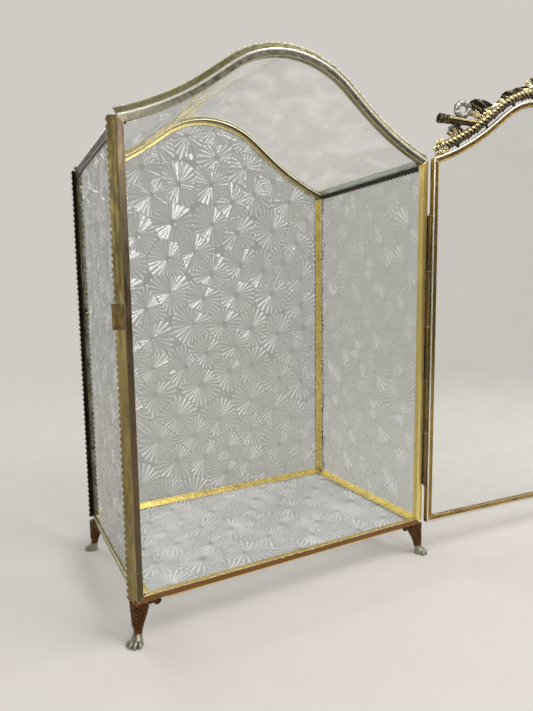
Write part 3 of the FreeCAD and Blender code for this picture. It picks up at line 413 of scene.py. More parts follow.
@dataclass(frozen=True)
class Brass:
    """Brass under a film of tarnish and a grey bloom, with pale edges from wear and painted highlight, and
    painted shade in its recesses.
    """

    name: str
    body: str
    tarnish: str
    bloom: str
    # Pale colour of the edges, for wear and for the painted highlight
    worn_and_highlight: str
    # Colour of the painted shade in the hollows
    recess_shade: str
    roughness: Point = (0.2, 0.4)
    patch_mm: float = 16.0
    mottle_mm: float = 1.6
    streak: Place = (1.0, 1.0, 1.0)
    film_share: float = 0.8
    bloom_share: float = 0.4
    grain_mm: float = 0.45
    grain_deep: float = 0.05
    edge_mm: float = 0.45
    recess_mm: float = 1.2
    recess_depth: Point = (0.2, 0.55)
    # Tone painted, as light and shade, on the faces turned one way, with that way and its share
    front: str = ""
    painted_light_way: Place = (0.0, -1.0, 0.0)
    painted_light_share: float = 0.8
    foot_tone: str = ""
    paw_z: Point = (8.8, 7.2)
    paw_metal: float = 0.85
    metal: float = 1.0
    # Painted highlight on the teeth's tips, the depth band it lies in, and its metalness
    tip: str = ""
    tip_highlight_y: Point = (0.0, 0.0)
    tip_highlight_metal: float = 0.2

    def tone(self, tree: Tree, here: Socket, along: Node, mottle: Node) -> Socket:
        """Colour of the open surface: bare brass, tarnish film and bloom.

        Args:
            tree: The material's tree.
            here: Object coordinates.
            along: The same, drawn out along the strip.
            mottle: Fine mottle that breaks the films up.

        Returns:
            The colour.
        """
        patch_feeds = {"Vector": along, "Scale": 1 / (self.patch_mm * MM), "Detail": 6.0, "Roughness": 0.58}
        patch = add(tree, "TexNoise", patch_feeds)
        broken = add(tree, "Mix", {0: 0.3, 2: patch, 3: mottle})
        film = add(tree, "MapRange", {0: broken, 1: 0.36, 2: 0.66, 4: self.film_share}, **SOFT)
        tone = add(tree, "Mix", {0: film, 6: self.body, 7: self.tarnish}, **COLOUR).outputs[2]
        cloud_feeds = {"Vector": here, "Scale": 0.7 / (self.patch_mm * MM), "Detail": 5.0, "Distortion": 0.4}
        cloud = add(tree, "Mix", {0: 0.35, 2: add(tree, "TexNoise", cloud_feeds), 3: mottle})
        dust_and_glint = add(tree, "MapRange", {0: cloud, 1: 0.44, 2: 0.64, 4: self.bloom_share}, **SOFT)
        return add(tree, "Mix", {0: dust_and_glint, 6: tone, 7: self.bloom}, **COLOUR).outputs[2]

    def make(self) -> bpy.types.Material:
        """Build the material.

        Returns:
            The material.
        """
        material = empty_material(self.name)
        tree = material.node_tree
        spot = add(tree, "TexCoord").outputs
        here, facing = spot["Object"], spot["Normal"]
        along = add(tree, "Mapping", {"Vector": here, "Scale": self.streak})
        mottle = add(tree, "TexNoise", {"Vector": along, "Scale": 1 / (self.mottle_mm * MM), "Detail": 4.0})
        speck = add(tree, "TexNoise", {"Vector": here, "Scale": 1 / (self.grain_mm * MM), "Detail": 3.0})
        tone = self.tone(tree, here, along, mottle)

        # Painted light and shade: faces turned one way, by default the strip's flat front, get another tone
        # than the rest
        if self.front:
            turned = add(tree, "VectorMath", {0: facing, 1: self.painted_light_way}, operation="DOT_PRODUCT")
            face = add(tree, "MapRange", {0: turned.outputs["Value"], 1: 0.93, 2: 0.98, 4: self.painted_light_share})
            tone = add(tree, "Mix", {0: face, 6: tone, 7: self.front}, **COLOUR).outputs[2]

        # Edges are rounded and pale: rubbed wear, and a painted highlight along folds and teeth
        soft = add(tree, "Bevel", {"Radius": self.edge_mm * MM}, samples=8)
        sharp = add(tree, "NewGeometry").outputs["Normal"]
        turn = add(tree, "VectorMath", {0: soft, 1: sharp}, operation="DOT_PRODUCT").outputs["Value"]
        edge = add(tree, "MapRange", {0: turn, 1: 0.99, 2: 0.86})
        rubbed = add(tree, "MapRange", {0: speck, 1: 0.3, 2: 0.6, 3: 0.45, 4: 1.0})
        edge = add(tree, "Math", {0: edge, 1: rubbed}, operation="MULTIPLY")
        tone = add(tree, "Mix", {0: edge, 6: tone, 7: self.worn_and_highlight}, **COLOUR).outputs[2]

        # Painted shade: hollows that nothing reaches are darkened
        nearby = {"Distance": self.recess_mm * MM}
        open_sky = add(tree, "AmbientOcclusion", nearby, samples=8, only_local=True).outputs["AO"]
        low, high = self.recess_depth
        hollow = add(tree, "MapRange", {0: open_sky, 1: high, 2: low})
        tone = add(tree, "Mix", {0: hollow, 6: tone, 7: self.recess_shade}, **COLOUR).outputs[2]
        smooth, dull = self.roughness
        rough = add(tree, "MapRange", {0: mottle, 1: 0.35, 2: 0.65, 3: smooth, 4: dull})
        rough = add(tree, "Math", {0: hollow, 1: 0.3, 2: rough}, operation="MULTIPLY_ADD")
        metal = self.metal

        # Painted highlight: the tips of the teeth, at the far end of the leaning flange, are painted nearly
        # white and matt
        if self.tip:
            near, far = self.tip_highlight_y
            depth = add(tree, "SeparateXYZ", {0: here}).outputs["Y"]
            outer = add(tree, "MapRange", {0: depth, 1: near * MM, 2: far * MM})
            lean = add(tree, "SeparateXYZ", {0: facing}).outputs["Y"]
            lean = add(tree, "Math", {0: lean}, operation="ABSOLUTE")
            flange = add(tree, "MapRange", {0: lean, 1: 0.5, 2: 0.8})
            pale = add(tree, "Math", {0: outer, 1: flange}, operation="MULTIPLY")
            pale = add(tree, "Math", {0: pale, 1: rubbed}, operation="MULTIPLY")
            tone = add(tree, "Mix", {0: pale, 6: tone, 7: self.tip}, **COLOUR).outputs[2]
            metal = add(tree, "MapRange", {0: pale, 3: self.metal, 4: self.tip_highlight_metal})

        # Paws are matt and pale where they stand on the floor
        if self.foot_tone:
            ankle, toe = self.paw_z
            height = add(tree, "SeparateXYZ", {0: here}).outputs["Z"]
            wobble = add(tree, "Math", {0: mottle, 1: 3 * MM, 2: height}, operation="MULTIPLY_ADD")
            paw = add(tree, "MapRange", {0: wobble, 1: ankle * MM, 2: toe * MM})
            # The paw's pale tone stays out of its hollows, which keep their painted shade
            out_of_shade = add(tree, "MapRange", {0: open_sky, 1: 0.68, 2: 0.94, 3: 0.05, 4: 0.95})
            pale = add(tree, "Math", {0: paw, 1: out_of_shade}, operation="MULTIPLY")
            tone = add(tree, "Mix", {0: pale, 6: tone, 7: self.foot_tone}, **COLOUR).outputs[2]
            rough = add(tree, "Mix", {0: paw, 2: rough, 3: 0.4})
            metal = add(tree, "MapRange", {0: paw, 3: self.metal, 4: self.paw_metal})

        grain = {"Strength": 0.22, "Distance": self.grain_deep * MM, "Height": speck, "Normal": soft}
        bump = add(tree, "Bump", grain)
        feeds = {"Base Color": tone, "Metallic": metal, "Roughness": rough, "Normal": bump}
        add(tree, "OutputMaterial", {0: add(tree, "BsdfPrincipled", feeds)})
        return material


@dataclass(frozen=True)
class Solder:
    """Tin and lead solder, wiped while hot: dull grey lumps with a brass tint at their rim."""

    name: str = "tin_lead_solder_wiped"
    body: str = "#8C8A80"
    dark: str = "#5A5443"
    mottle_mm: float = 1.2
    mottle_deep: float = 0.1

    def make(self) -> bpy.types.Material:
        """Build the material.

        Returns:
            The material.
        """
        material = empty_material(self.name)
        tree = material.node_tree
        here = add(tree, "TexCoord").outputs["Object"]
        mottle = add(tree, "TexNoise", {"Vector": here, "Scale": 1 / (self.mottle_mm * MM), "Detail": 5.0})
        share = add(tree, "MapRange", {0: mottle, 1: 0.38, 2: 0.62})
        tone = add(tree, "Mix", {0: share, 6: self.body, 7: self.dark}, **COLOUR).outputs[2]
        rough = add(tree, "MapRange", {0: mottle, 1: 0.3, 2: 0.7, 3: 0.3, 4: 0.55})
        bump = add(tree, "Bump", {"Strength": 0.4, "Distance": self.mottle_deep * MM, "Height": mottle})
        feeds = {"Base Color": tone, "Metallic": 1.0, "Roughness": rough, "Normal": bump}
        add(tree, "OutputMaterial", {0: add(tree, "BsdfPrincipled", feeds)})
        return material


@dataclass(frozen=True)
class Glass:
    """Soda-lime sheet glass with a film of dust and wiped smears; pressed sheets have painted white
    highlights on their ray ridges and painted grey shade in their grooves.
    """

    name: str
    tint: str = "#F6F8F6"
    # Grey of the painted shade in the grooves and hearts of the bursts
    groove: str = ""
    # White of the dust film and of the painted highlights on the ridges
    dust_and_glint: str = "#FFFFFF"
    film: Point = (0.01, 0.05)
    smear_mm: float = 60.0
    smear_turn: float = 0.5
    # Strength of the painted highlight on the ridges, its share in calm parts, and the size of its patches
    ridge_white: float = 0.0
    ridge_calm: float = 0.5
    sparkle_mm: float = 45.0
    shade: float = 0.92
    refraction: float = 1.5

    def make(self) -> bpy.types.Material:
        """Build the material.

        Returns:
            The material.
        """
        material = empty_material(self.name)
        tree = material.node_tree
        here = add(tree, "TexCoord").outputs["Object"]
        wiping = {"Vector": here, "Rotation": (0.3, self.smear_turn, 0.7), "Scale": (1.0, 1.0, 4.0)}
        wipe = add(tree, "Mapping", wiping)
        smear_feeds = {"Vector": wipe, "Scale": 1 / (self.smear_mm * MM), "Detail": 6.0, "Distortion": 1.2}
        smear = add(tree, "TexNoise", smear_feeds)
        low, high = self.film
        film = add(tree, "MapRange", {0: smear, 1: 0.45, 2: 0.7, 3: low, 4: high})
        tone = self.tint
        if self.groove:
            # Painted highlights: white lines along the ridges, brighter in some parts of the sheet than in
            # others; painted shade: grey in the grooves and hearts
            ridge = add(tree, "Attribute", attribute_name="ridge").outputs["Fac"]
            line = add(tree, "MapRange", {0: ridge, 1: 0.4, 2: 0.95}, **SOFT)
            dusty = add(tree, "MapRange", {0: ridge, 1: CLEAR_HEART, 2: 0.0}, **SOFT)
            film = add(tree, "Math", {0: film, 1: dusty}, operation="MULTIPLY")
            sparkle_feeds = {"Vector": here, "Scale": 1 / (self.sparkle_mm * MM), "Detail": 3.0}
            sparkle = add(tree, "TexNoise", sparkle_feeds)
            calm = self.ridge_calm * self.ridge_white
            glint = add(tree, "MapRange", {0: sparkle, 1: 0.42, 2: 0.6, 3: calm, 4: self.ridge_white})
            film = add(tree, "Math", {0: line, 1: glint, 2: film}, operation="MULTIPLY_ADD")
            tone = add(tree, "Mix", {0: ridge, 6: self.groove, 7: self.tint}, **COLOUR).outputs[2]
        feeds = {"Base Color": tone, "Roughness": 0.0, "IOR": self.refraction, "Transmission Weight": 1.0}
        body = add(tree, "BsdfPrincipled", feeds)
        lit = add(tree, "BsdfDiffuse", {"Color": self.dust_and_glint})
        through = add(tree, "BsdfTranslucent", {"Color": self.dust_and_glint})
        haze = add(tree, "MixShader", {0: 0.5, 1: lit, 2: through})
        body = add(tree, "MixShader", {0: film, 1: body, 2: haze})
        # Lamps and soft light pass through a pane, as they do in a thin sheet
        path = add(tree, "LightPath").outputs
        rays = {0: path["Is Shadow Ray"], 1: path["Is Diffuse Ray"]}
        passing = add(tree, "Math", rays, operation="MAXIMUM")
        clear = add(tree, "BsdfTransparent", {"Color": (self.shade, self.shade, self.shade, 1.0)})
        add(tree, "OutputMaterial", {0: add(tree, "MixShader", {0: passing, 1: body, 2: clear})})
        return material


@dataclass(frozen=True)
class StudioPaper:
    """Matt paper on the studio floor, pale and warm, that fades into the backdrop far from the case."""

    backdrop: str
    room: str
    name: str = "studio_paper_matt"
    pale: str = "#D8D3CC"
    shade: str = "#D2CCC4"
    mottle_mm: float = 40.0
    fade: Point = (0.5, 1.5)

    def make(self) -> bpy.types.Material:
        """Build the material.

        Returns:
            The material.
        """
        material = empty_material(self.name)
        tree = material.node_tree
        here = add(tree, "TexCoord").outputs["Object"]
        mottle = add(tree, "TexNoise", {"Vector": here, "Scale": 1 / (self.mottle_mm * MM), "Detail": 4.0})
        tone = add(tree, "Mix", {0: mottle, 6: self.pale, 7: self.shade}, **COLOUR).outputs[2]
        feeds = {"Base Color": tone, "Roughness": 0.85, "Specular IOR Level": 0.15}
        paper = add(tree, "BsdfPrincipled", feeds)
        away = add(tree, "VectorMath", {0: here}, operation="LENGTH").outputs["Value"]
        near, far = self.fade
        lost = add(tree, "MapRange", {0: away, 1: near, 2: far}, **SOFT)
        path = add(tree, "LightPath").outputs
        seen = straight_view(tree, path)
        any_view = add(tree, "Math", {0: seen, 1: path["Is Glossy Ray"]}, operation="MAXIMUM")
        lost = add(tree, "Math", {0: lost, 1: any_view}, operation="MULTIPLY")
        way = add(tree, "VectorMath", {0: here}, operation="NORMALIZE")
        behind = add(tree, "Math", {0: backdrop_share(tree, way), 1: seen}, operation="MAXIMUM")
        wall = add(tree, "Mix", {0: behind, 6: self.room, 7: self.backdrop}, **COLOUR).outputs[2]
        glow = add(tree, "Emission", {"Color": wall, "Strength": 1.0})
        add(tree, "OutputMaterial", {0: add(tree, "MixShader", {0: lost, 1: paper, 2: glow})})
        return material


# Folded strip, long untouched: olive film, grey-green bloom, pale lines along the folds from wear and painted
# highlight, and painted shade on the flat front
AGED_STRIP = Brass(
    name="brass_strip_folded_aged", body="#C2B580", tarnish="#857A50", bloom="#A8A898", worn_and_highlight="#F6F0DA",
    recess_shade="#241B10", streak=(1.0, 1.0, 0.2), edge_mm=0.7, bloom_share=0.5, front="#6A6152",
)
# The front arch is greyer; its teeth are painted pale, a painted highlight, and its flat front darker, a
# painted shade
ARCH_STRIP = replace(
    AGED_STRIP, name="brass_strip_folded_greyed", body="#B4A978", tarnish="#7C724C", streak=(0.4, 1.0, 0.6),
    front="#5C5A50", painted_light_share=0.9, metal=0.8, tip="#F4F2E2", tip_highlight_y=(-69.6, -69.1),
)
# The catch post is browner, with olive streaks that run up it, and painted shade darkens its flat front
POST_STRIP = Brass(
    name="brass_strip_folded_brown", body="#A89A66", tarnish="#5E4E2E", bloom="#7E7C6A", worn_and_highlight="#F3EACB",
    recess_shade="#1C130A", streak=(1.0, 1.0, 0.16), patch_mm=12.0, front="#564A40", painted_light_share=0.85,
)
# The door frame is handled, so its folded strip is a warm brown gold
HANDLED_STRIP = Brass(
    name="brass_strip_folded_handled", body="#AA8E50", tarnish="#6A522B", bloom="#8A8060", worn_and_highlight="#FBF2CC",
    recess_shade="#2E200D", streak=(1.0, 1.0, 0.2), bloom_share=0.25,
)
# The front rail is bright on top, and a painted brown shade darkens its face
RAIL_STRIP = Brass(
    name="brass_strip_folded_browned", body="#F6E3A0", tarnish="#D2B062", bloom="#B5A878", worn_and_highlight="#FFF6CF",
    recess_shade="#2E1A0C", streak=(0.25, 1.0, 1.0), film_share=0.6, bloom_share=0.2, front="#7A4E2C",
    painted_light_share=0.92,
)
# The hinge post is rubbed by the opening door and shines cream and gold
POLISHED_STRIP = Brass(
    name="brass_strip_folded_polished", body="#F2DC88", tarnish="#CFAE55", bloom="#A8985E", worn_and_highlight="#FFFBE4",
    recess_shade="#2E200D", roughness=(0.3, 0.45), streak=(1.0, 1.0, 0.2), film_share=0.6, bloom_share=0.15,
)
# The back frame, seen through glass, is painted nearly black as painted shade, with its teeth and folds pale
# from wear and painted highlight
DARK_STRIP = Brass(
    name="brass_strip_folded_painted_shade", body="#3A3022", tarnish="#1C150D", bloom="#504E46", worn_and_highlight="#FFFDF2",
    recess_shade="#0E0A06", roughness=(0.3, 0.5), streak=(1.0, 1.0, 0.3), edge_mm=0.8, bloom_share=0.35,
)
# The back arch's teeth are painted white, a painted highlight, and show through the roof as a white serrated
# line
DARK_ARCH = replace(DARK_STRIP, name="brass_strip_folded_black_white", tip="#FFFDF2", tip_highlight_y=(69.8, 69.3))
# The shoulder rails are painted black too, a painted shade, and the splayed edge that lies on the roof is
# painted pale below, a painted highlight
HIGHLIT_RAIL_STRIP = replace(
    DARK_STRIP, name="brass_strip_folded_black_painted_highlight", streak=(1.0, 0.3, 1.0), front="#D2DACB",
    painted_light_way=(-0.89, 0.0, -0.45), painted_light_share=0.85,
)
# Strips under the roof are painted black towards the glass, a painted shade, with pale edges from wear and
# painted highlight; the back arch's face, turned to the front, is painted gold as painted light
ROOF_STRIP = Brass(
    name="brass_strip_drawn_black_gold", body="#4A3F2C", tarnish="#1E170E", bloom="#6A675A", worn_and_highlight="#FFFFFF",
    recess_shade="#0C0805", roughness=(0.25, 0.42), edge_mm=0.7, bloom_share=0.3, front="#EEDD94", painted_light_share=0.95,
)
# The shoulder strips are painted pale where they meet the roof, a painted highlight, and dark brown on their
# sides turned along -X, a painted shade
SHOULDER_STRIP = Brass(
    name="brass_strip_drawn_pale_brown", body="#DCE0D2", tarnish="#7E8474", bloom="#B4BAAC", worn_and_highlight="#FFFFFF",
    recess_shade="#0E0A06", roughness=(0.22, 0.4), patch_mm=5.0, edge_mm=0.6, front="#20160C",
    painted_light_way=(-1.0, 0.0, 0.0), painted_light_share=0.95,
)
# The front arch's fold and the door's outer bead are painted nearly white, a painted highlight along the fold
HIGHLIT_FOLD = Brass(
    name="brass_fold_painted_highlight", body="#E9E6DA", tarnish="#B9B5A2", bloom="#A9AA9C", worn_and_highlight="#FFFFFF",
    recess_shade="#3A3323", roughness=(0.14, 0.28), bloom_share=0.3, film_share=0.5, metal=0.6,
)
# Strips inside the case keep the gold of new brass, with brown spots left by soldering
INNER_STRIP = Brass(
    name="brass_strip_drawn_bright", body="#F6E8A4", tarnish="#D6BE6C", bloom="#A8985E", worn_and_highlight="#FFFBE0",
    recess_shade="#3C2F10", roughness=(0.2, 0.36), patch_mm=9.0, film_share=0.6, bloom_share=0.15,
)
# Poured brass: cream-gold on what stands proud, black in the hollows of the relief, a painted shade
CAST_CREST = Brass(
    name="brass_cast_gilt", body="#E0D09A", tarnish="#A38A52", bloom="#B9B8A6", worn_and_highlight="#FFFBEA",
    recess_shade="#0C0805", roughness=(0.22, 0.4), patch_mm=6.0, grain_mm=0.35, edge_mm=0.3, recess_mm=2.4,
    recess_depth=(0.42, 0.78),
)
# The torches, fringe, stays and large leaves of the crest are dark, with pale folds from wear and painted
# highlight; the fringe's dark rows under the rope are painted shade
DARK_CREST = Brass(
    name="brass_cast_dark_and_painted_shade", body="#4A3E2A", tarnish="#1E1710", bloom="#5E5A4C", worn_and_highlight="#F2EBD2",
    recess_shade="#060403", roughness=(0.24, 0.42), patch_mm=6.0, grain_mm=0.35, edge_mm=0.35, recess_mm=2.0,
    recess_depth=(0.35, 0.7), bloom_share=0.3,
)
# The bows of the crest are silvery grey, a painted sheen, and pale on their folds from wear and painted
# highlight
SILVER_CREST = Brass(
    name="brass_cast_painted_silver_sheen", body="#9C9B93", tarnish="#4E4A3F", bloom="#7C7B72", worn_and_highlight="#EDEDE6",
    recess_shade="#050403", roughness=(0.38, 0.52), patch_mm=9.0, film_share=0.5, grain_mm=0.35, edge_mm=0.35,
    recess_mm=2.4, recess_depth=(0.45, 0.8), bloom_share=0.3,
)
# Poured brass feet: brown legs in shadow, paws greyed by handling and polish
CAST_FOOT = Brass(
    name="brass_cast_browned", body="#64432A", tarnish="#352014", bloom="#584A36", worn_and_highlight="#D4BC8C",
    recess_shade="#140C06", roughness=(0.26, 0.44), patch_mm=6.0, grain_mm=0.35, edge_mm=0.3, recess_mm=1.8,
    recess_depth=(0.42, 0.8), foot_tone="#9A9D8B",
)
# Tube and leaf of the hinge, rolled from thin sheet and darkened by old oil
OILED_STRIP = Brass(
    name="brass_sheet_rolled_oiled", body="#8A7444", tarnish="#4A3A22", bloom="#77745C", worn_and_highlight="#EFE4BE",
    recess_shade="#1A120A", patch_mm=9.0, streak=(1.0, 1.0, 0.3),
)
# Pressed sheet: the roller's starbursts, with painted highlights along their ridges and painted shade in
# their grooves
PRESSED_WALL = Glass(name="glass_pressed_starburst", groove="#BCC1BF", film=(0.0, 0.02), ridge_white=0.9)
# The side panes are seen aslant and look much clearer
PRESSED_SIDE = Glass(
    name="glass_pressed_starburst_clear", groove="#CDD2CF", film=(0.0, 0.02), ridge_white=1.0, ridge_calm=0.2,
    sparkle_mm=60.0,
)
# The floor pane lies flat and holds the dust; its thick white film is dust and a painted reflection that
# makes it look silvery
PRESSED_FLOOR = Glass(
    name="glass_pressed_starburst_dust_and_sheen", groove="#B6BEBD", film=(0.2, 0.52), ridge_white=1.0, ridge_calm=0.8,
    shade=0.85,
)
# Flat drawn sheet, nearly unseen but for reflections and wiped smears
CLEAR_SHEET = Glass(name="glass_drawn_clear", film=(0.0, 0.03), smear_turn=1.1)
# The bent roof pane shows the most smears
CLEAR_ROOF = Glass(name="glass_bent_clear", film=(0.0, 0.24), smear_mm=40.0, smear_turn=0.4)


@dataclass(frozen=True)
class Ogee:
    """The arch of the case: crown arc, straight flank and shoulder arc, measured along its half."""

    crown_radius: float = 72.0
    shoulder_radius: float = 200.0
    slope: float = math.radians(37.0)
    flank: float = 17.38
    half_width: float = 114.4
    crown_z: float = 362.99

    @property
    def crown_stretch(self) -> float:
        """Length of the crown arc on one side."""
        return self.crown_radius * self.slope

    @property
    def half_stretch(self) -> float:
        """Measure the arch from crown to shoulder.

        Returns:
            The length in millimetres.
        """
        centre_x = self.flank_end[0] + self.shoulder_radius * math.sin(self.slope)
        end = math.asin((centre_x - self.half_width) / self.shoulder_radius)
        return self.crown_stretch + self.flank + self.shoulder_radius * (self.slope - end)

    @property
    def flank_end(self) -> Point:
        """Find where the straight flank meets the shoulder arc.

        Returns:
            The point's x and z from the crown.
        """
        x = self.crown_radius * math.sin(self.slope) + self.flank * math.cos(self.slope)
        z = self.crown_radius * (math.cos(self.slope) - 1) - self.flank * math.sin(self.slope)
        return x, z

    def at(self, stretch: float, outward: float) -> Point:
        """Point of the arch or of a line beside it.

        Args:
            stretch: Length along the arch from the crown, negative on the left.
            outward: Distance outside the arch, in millimetres.

        Returns:
            The point's x and z in millimetres.
        """
        side, s = (1.0 if stretch >= 0 else -1.0), abs(stretch)
        if s <= self.crown_stretch:
            angle, reach = s / self.crown_radius, self.crown_radius + outward
            x, z = reach * math.sin(angle), reach * math.cos(angle) - self.crown_radius
        elif s <= self.crown_stretch + self.flank:
            left = self.crown_stretch + self.flank - s
            x = self.flank_end[0] - left * math.cos(self.slope) + outward * math.sin(self.slope)
            z = self.flank_end[1] + left * math.sin(self.slope) + outward * math.cos(self.slope)
        else:
            angle = self.slope - (s - self.crown_stretch - self.flank) / self.shoulder_radius
            reach = self.shoulder_radius - outward
            x = self.flank_end[0] + self.shoulder_radius * math.sin(self.slope) - reach * math.sin(angle)
            z = self.flank_end[1] + self.shoulder_radius * math.cos(self.slope) - reach * math.cos(angle)
        return side * x, self.crown_z + z


ARCH = Ogee()


def settle(
    piece: Piece, name: str, finish: bpy.types.Material, body: Body, nodes: Sequence[str] = ()
) -> Piece:
    """Name a finished piece, dress it and let it ride on its body.

    Args:
        piece: The finished piece, with its place in its mesh.
        name: The piece's name.
        finish: Its material.
        body: The body it moves with.
        nodes: CAD nodes that it stands for.

    Returns:
        The piece.
    """
    hold(piece)
    piece.name = piece.data.name = name
    piece.data.materials.clear()
    piece.data.materials.append(finish)
    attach(piece, body.value)
    if nodes:
        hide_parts(*nodes)
    LOG.info("%s: %d faces", name, len(piece.data.polygons))
    return piece


def away(centre: Point, angle: float, distance: float) -> Point:
    """Point at a distance from a centre, in the direction of an angle."""
    return centre[0] + distance * math.cos(angle), centre[1] + distance * math.sin(angle)


@dataclass
class PressedPane:
    """A sheet of glass pressed with starbursts on the side that faces the case's inside."""

    node: str
    origin: Place
    across: Place
    upward: Place
    width: float
    height: float
    thickness: float
    finish: Glass
    seed: int
    arched: bool = False
    spacing: float = 22.5
    disc: float = 2.4
    rays: tuple[int, int] = (22, 28)
    facet: float = 0.22
    deepest: float = 0.4
    border: float = 0.5
    # Way on the pane of the rays with the most painted highlight, and the share the other rays keep
    painted_glint_way: float = 0.85
    dim: float = 0.72
    throws: int = 9000
    longest: float = 20.0
    shortest: float = 0.8
    trim: float = 0.5
    sunk: float = 0.2
    rim_sunk: float = 0.1
    edge_in: float = 0.9
    margins: Point = (0.25, 0.3)
    points: list[Point] = field(default_factory=list)
    heights: list[float] = field(default_factory=list)
    painted_glints: list[float] = field(default_factory=list)
    creases: list[tuple[int, int]] = field(default_factory=list)

    def top(self, u: float) -> float:
        """Find the pane's upper edge at a place across it.

        Args:
            u: The place, from the pane's middle.

        Returns:
            The height in millimetres.
        """
        if not self.arched:
            return self.height
        low, high = 0.0, ARCH.half_stretch
        for _ in range(24):
            middle = (low + high) / 2
            low, high = (middle, high) if ARCH.at(middle, -self.edge_in)[0] < abs(u) else (low, middle)
        return ARCH.at(low, -self.edge_in)[1] - self.origin[2]

    def inside(self, u: float, v: float) -> bool:
        """Whether a point lies on the pane, clear of its edge."""
        low, high = self.margins
        return abs(u) < self.width / 2 - low and low < v < self.top(u) - high

    def outline(self) -> list[Point]:
        """Walk round the pane's edge.

        Returns:
            Points 2 to 2.5 mm apart.
        """
        half, sides = self.width / 2, max(8, round(self.height / 2.5))
        columns = max(8, round(self.width / 2))
        right = [(half, self.top(half) * i / sides) for i in range(sides)]
        upper = [half - self.width * i / columns for i in range(columns)]
        left = [(-half, self.top(half) * (1 - i / sides)) for i in range(sides)]
        lower = [(-half + self.width * i / columns, 0.0) for i in range(columns)]
        return right + [(u, self.top(u)) for u in upper] + left + lower

    def centres(self, dice: random.Random) -> list[Point]:
        """Throw burst centres at random, none nearer to another than the spacing.

        Args:
            dice: Source of the throws.

        Returns:
            The centres.
        """
        kept: list[Point] = []
        edge, nearest = self.spacing, self.spacing**2
        for _ in range(self.throws):
            u = dice.uniform(-self.width / 2 - edge, self.width / 2 + edge)
            v = dice.uniform(-edge, self.height + edge)
            if all((u - a) ** 2 + (v - b) ** 2 >= nearest for a, b in kept):
                kept.append((u, v))
        return kept

    def point(self, u: float, v: float, height: float, ridge: float) -> int:
        """Note a point of the relief.

        Args:
            u: Place across the pane.
            v: Place up the pane.
            height: Height over the flat side.
            ridge: How much painted highlight the point gets.

        Returns:
            The point's number.
        """
        self.points.append((u, v))
        self.heights.append(height)
        self.painted_glints.append(ridge)
        return len(self.points) - 1

    def reach(self, centre: Point, near: list[Point], angle: float) -> float:
        """How far a ray runs before it meets the rays of the next burst.

        Args:
            centre: The burst's middle.
            near: Middles of the bursts round it.
            angle: Direction of the ray on the pane.

        Returns:
            The length in millimetres.
        """
        longest = self.longest
        for a, b in near:
            du, dv = a - centre[0], b - centre[1]
            toward = du * math.cos(angle) + dv * math.sin(angle)
            if toward > 0.1:
                longest = min(longest, (du * du + dv * dv) / 2 / toward)
        return longest

    def burst(self, centre: Point, near: list[Point], dice: random.Random) -> None:
        """Lay out one burst: a smooth disc and rays that run out to its neighbours.

        Args:
            centre: The burst's middle.
            near: Middles of the bursts round it.
            dice: Source of its small irregularities.
        """
        count = dice.randint(*self.rays)
        turn, disc = dice.uniform(0, math.tau), self.disc * dice.uniform(0.75, 1.2)
        for step in range(9):
            u, v = away(centre, math.tau * step / 8, 0.72 * disc * min(1, step))
            if self.inside(u, v):
                self.point(u, v, self.thickness - self.sunk, CLEAR_HEART)
        for step in range(2 * count):
            ridge = step % 2 == 0
            angle = turn + math.tau * (step + dice.uniform(-0.16, 0.16)) / (2 * count)
            limit = self.reach(centre, near, angle)
            meeting = away(centre, angle, limit)
            if ridge and self.inside(*meeting):
                self.point(*meeting, self.thickness - self.sunk, 0.0)
            reach = limit - self.border * (dice.uniform(0.6, 2.6) if ridge else 1.0)
            # Painted highlight: rays near the glint way get all of it, the others the share dim
            glint = self.dim + (1 - self.dim) * max(0.0, math.cos(2 * (angle - self.painted_glint_way))) ** 1.5
            begin = disc * (1.0 if not ridge else dice.uniform(0.95, 1.4))
            while reach > begin and not self.inside(*away(centre, angle, reach)):
                reach -= self.trim
            while begin < reach and not self.inside(*away(centre, angle, begin)):
                begin += self.trim
            if reach < begin + self.shortest:
                continue
            ends = []
            for r in (begin, reach):
                sink = min(self.deepest, self.facet * math.pi * r / count)
                height = self.thickness - (0.0 if ridge else sink)
                share = (0.75 if r == begin else 1.0) * glint if ridge else 0.0
                ends.append(self.point(*away(centre, angle, r), height, share))
            self.creases.append((ends[0], ends[1]))

    def build(self) -> Piece:
        """Triangulate the relief and give it its thickness.

        Returns:
            The pane.
        """
        dice = random.Random(self.seed)
        edge = [self.point(u, v, self.thickness - self.rim_sunk, 0.0) for u, v in self.outline()]
        centres = self.centres(dice)
        tree = KDTree(len(centres))
        for number, (u, v) in enumerate(centres):
            tree.insert((u, v, 0.0), number)
        tree.balance()
        for number, (u, v) in enumerate(centres):
            found = tree.find_range((u, v, 0.0), 3 * self.spacing)
            self.burst((u, v), [centres[n] for _, n, _ in found if n != number], dice)
        flat, _, faces, origins, _, _ = delaunay_2d_cdt(
            [Vector(p) for p in self.points], self.creases, [edge], 1, 1e-5
        )
        across, upward = Vector(self.across), Vector(self.upward)
        inward = across.cross(upward)
        corner = Vector(self.origin)
        mesh = bpy.data.meshes.new(self.node)
        tops = [self.heights[o[0]] if o else self.thickness - self.sunk for o in origins]
        places = [corner + across * p.x + upward * p.y + inward * h for p, h in zip(flat, tops)]
        mesh.from_pydata([p * MM for p in places], [], faces)
        marks = mesh.attributes.new("ridge", "FLOAT", "POINT")
        marks.data.foreach_set("value", [self.painted_glints[o[0]] if o else 0.0 for o in origins])
        pane = bpy.data.objects.new(self.node, mesh)
        bpy.context.collection.objects.link(pane)
        self.thicken(pane, inward, corner)
        return pane

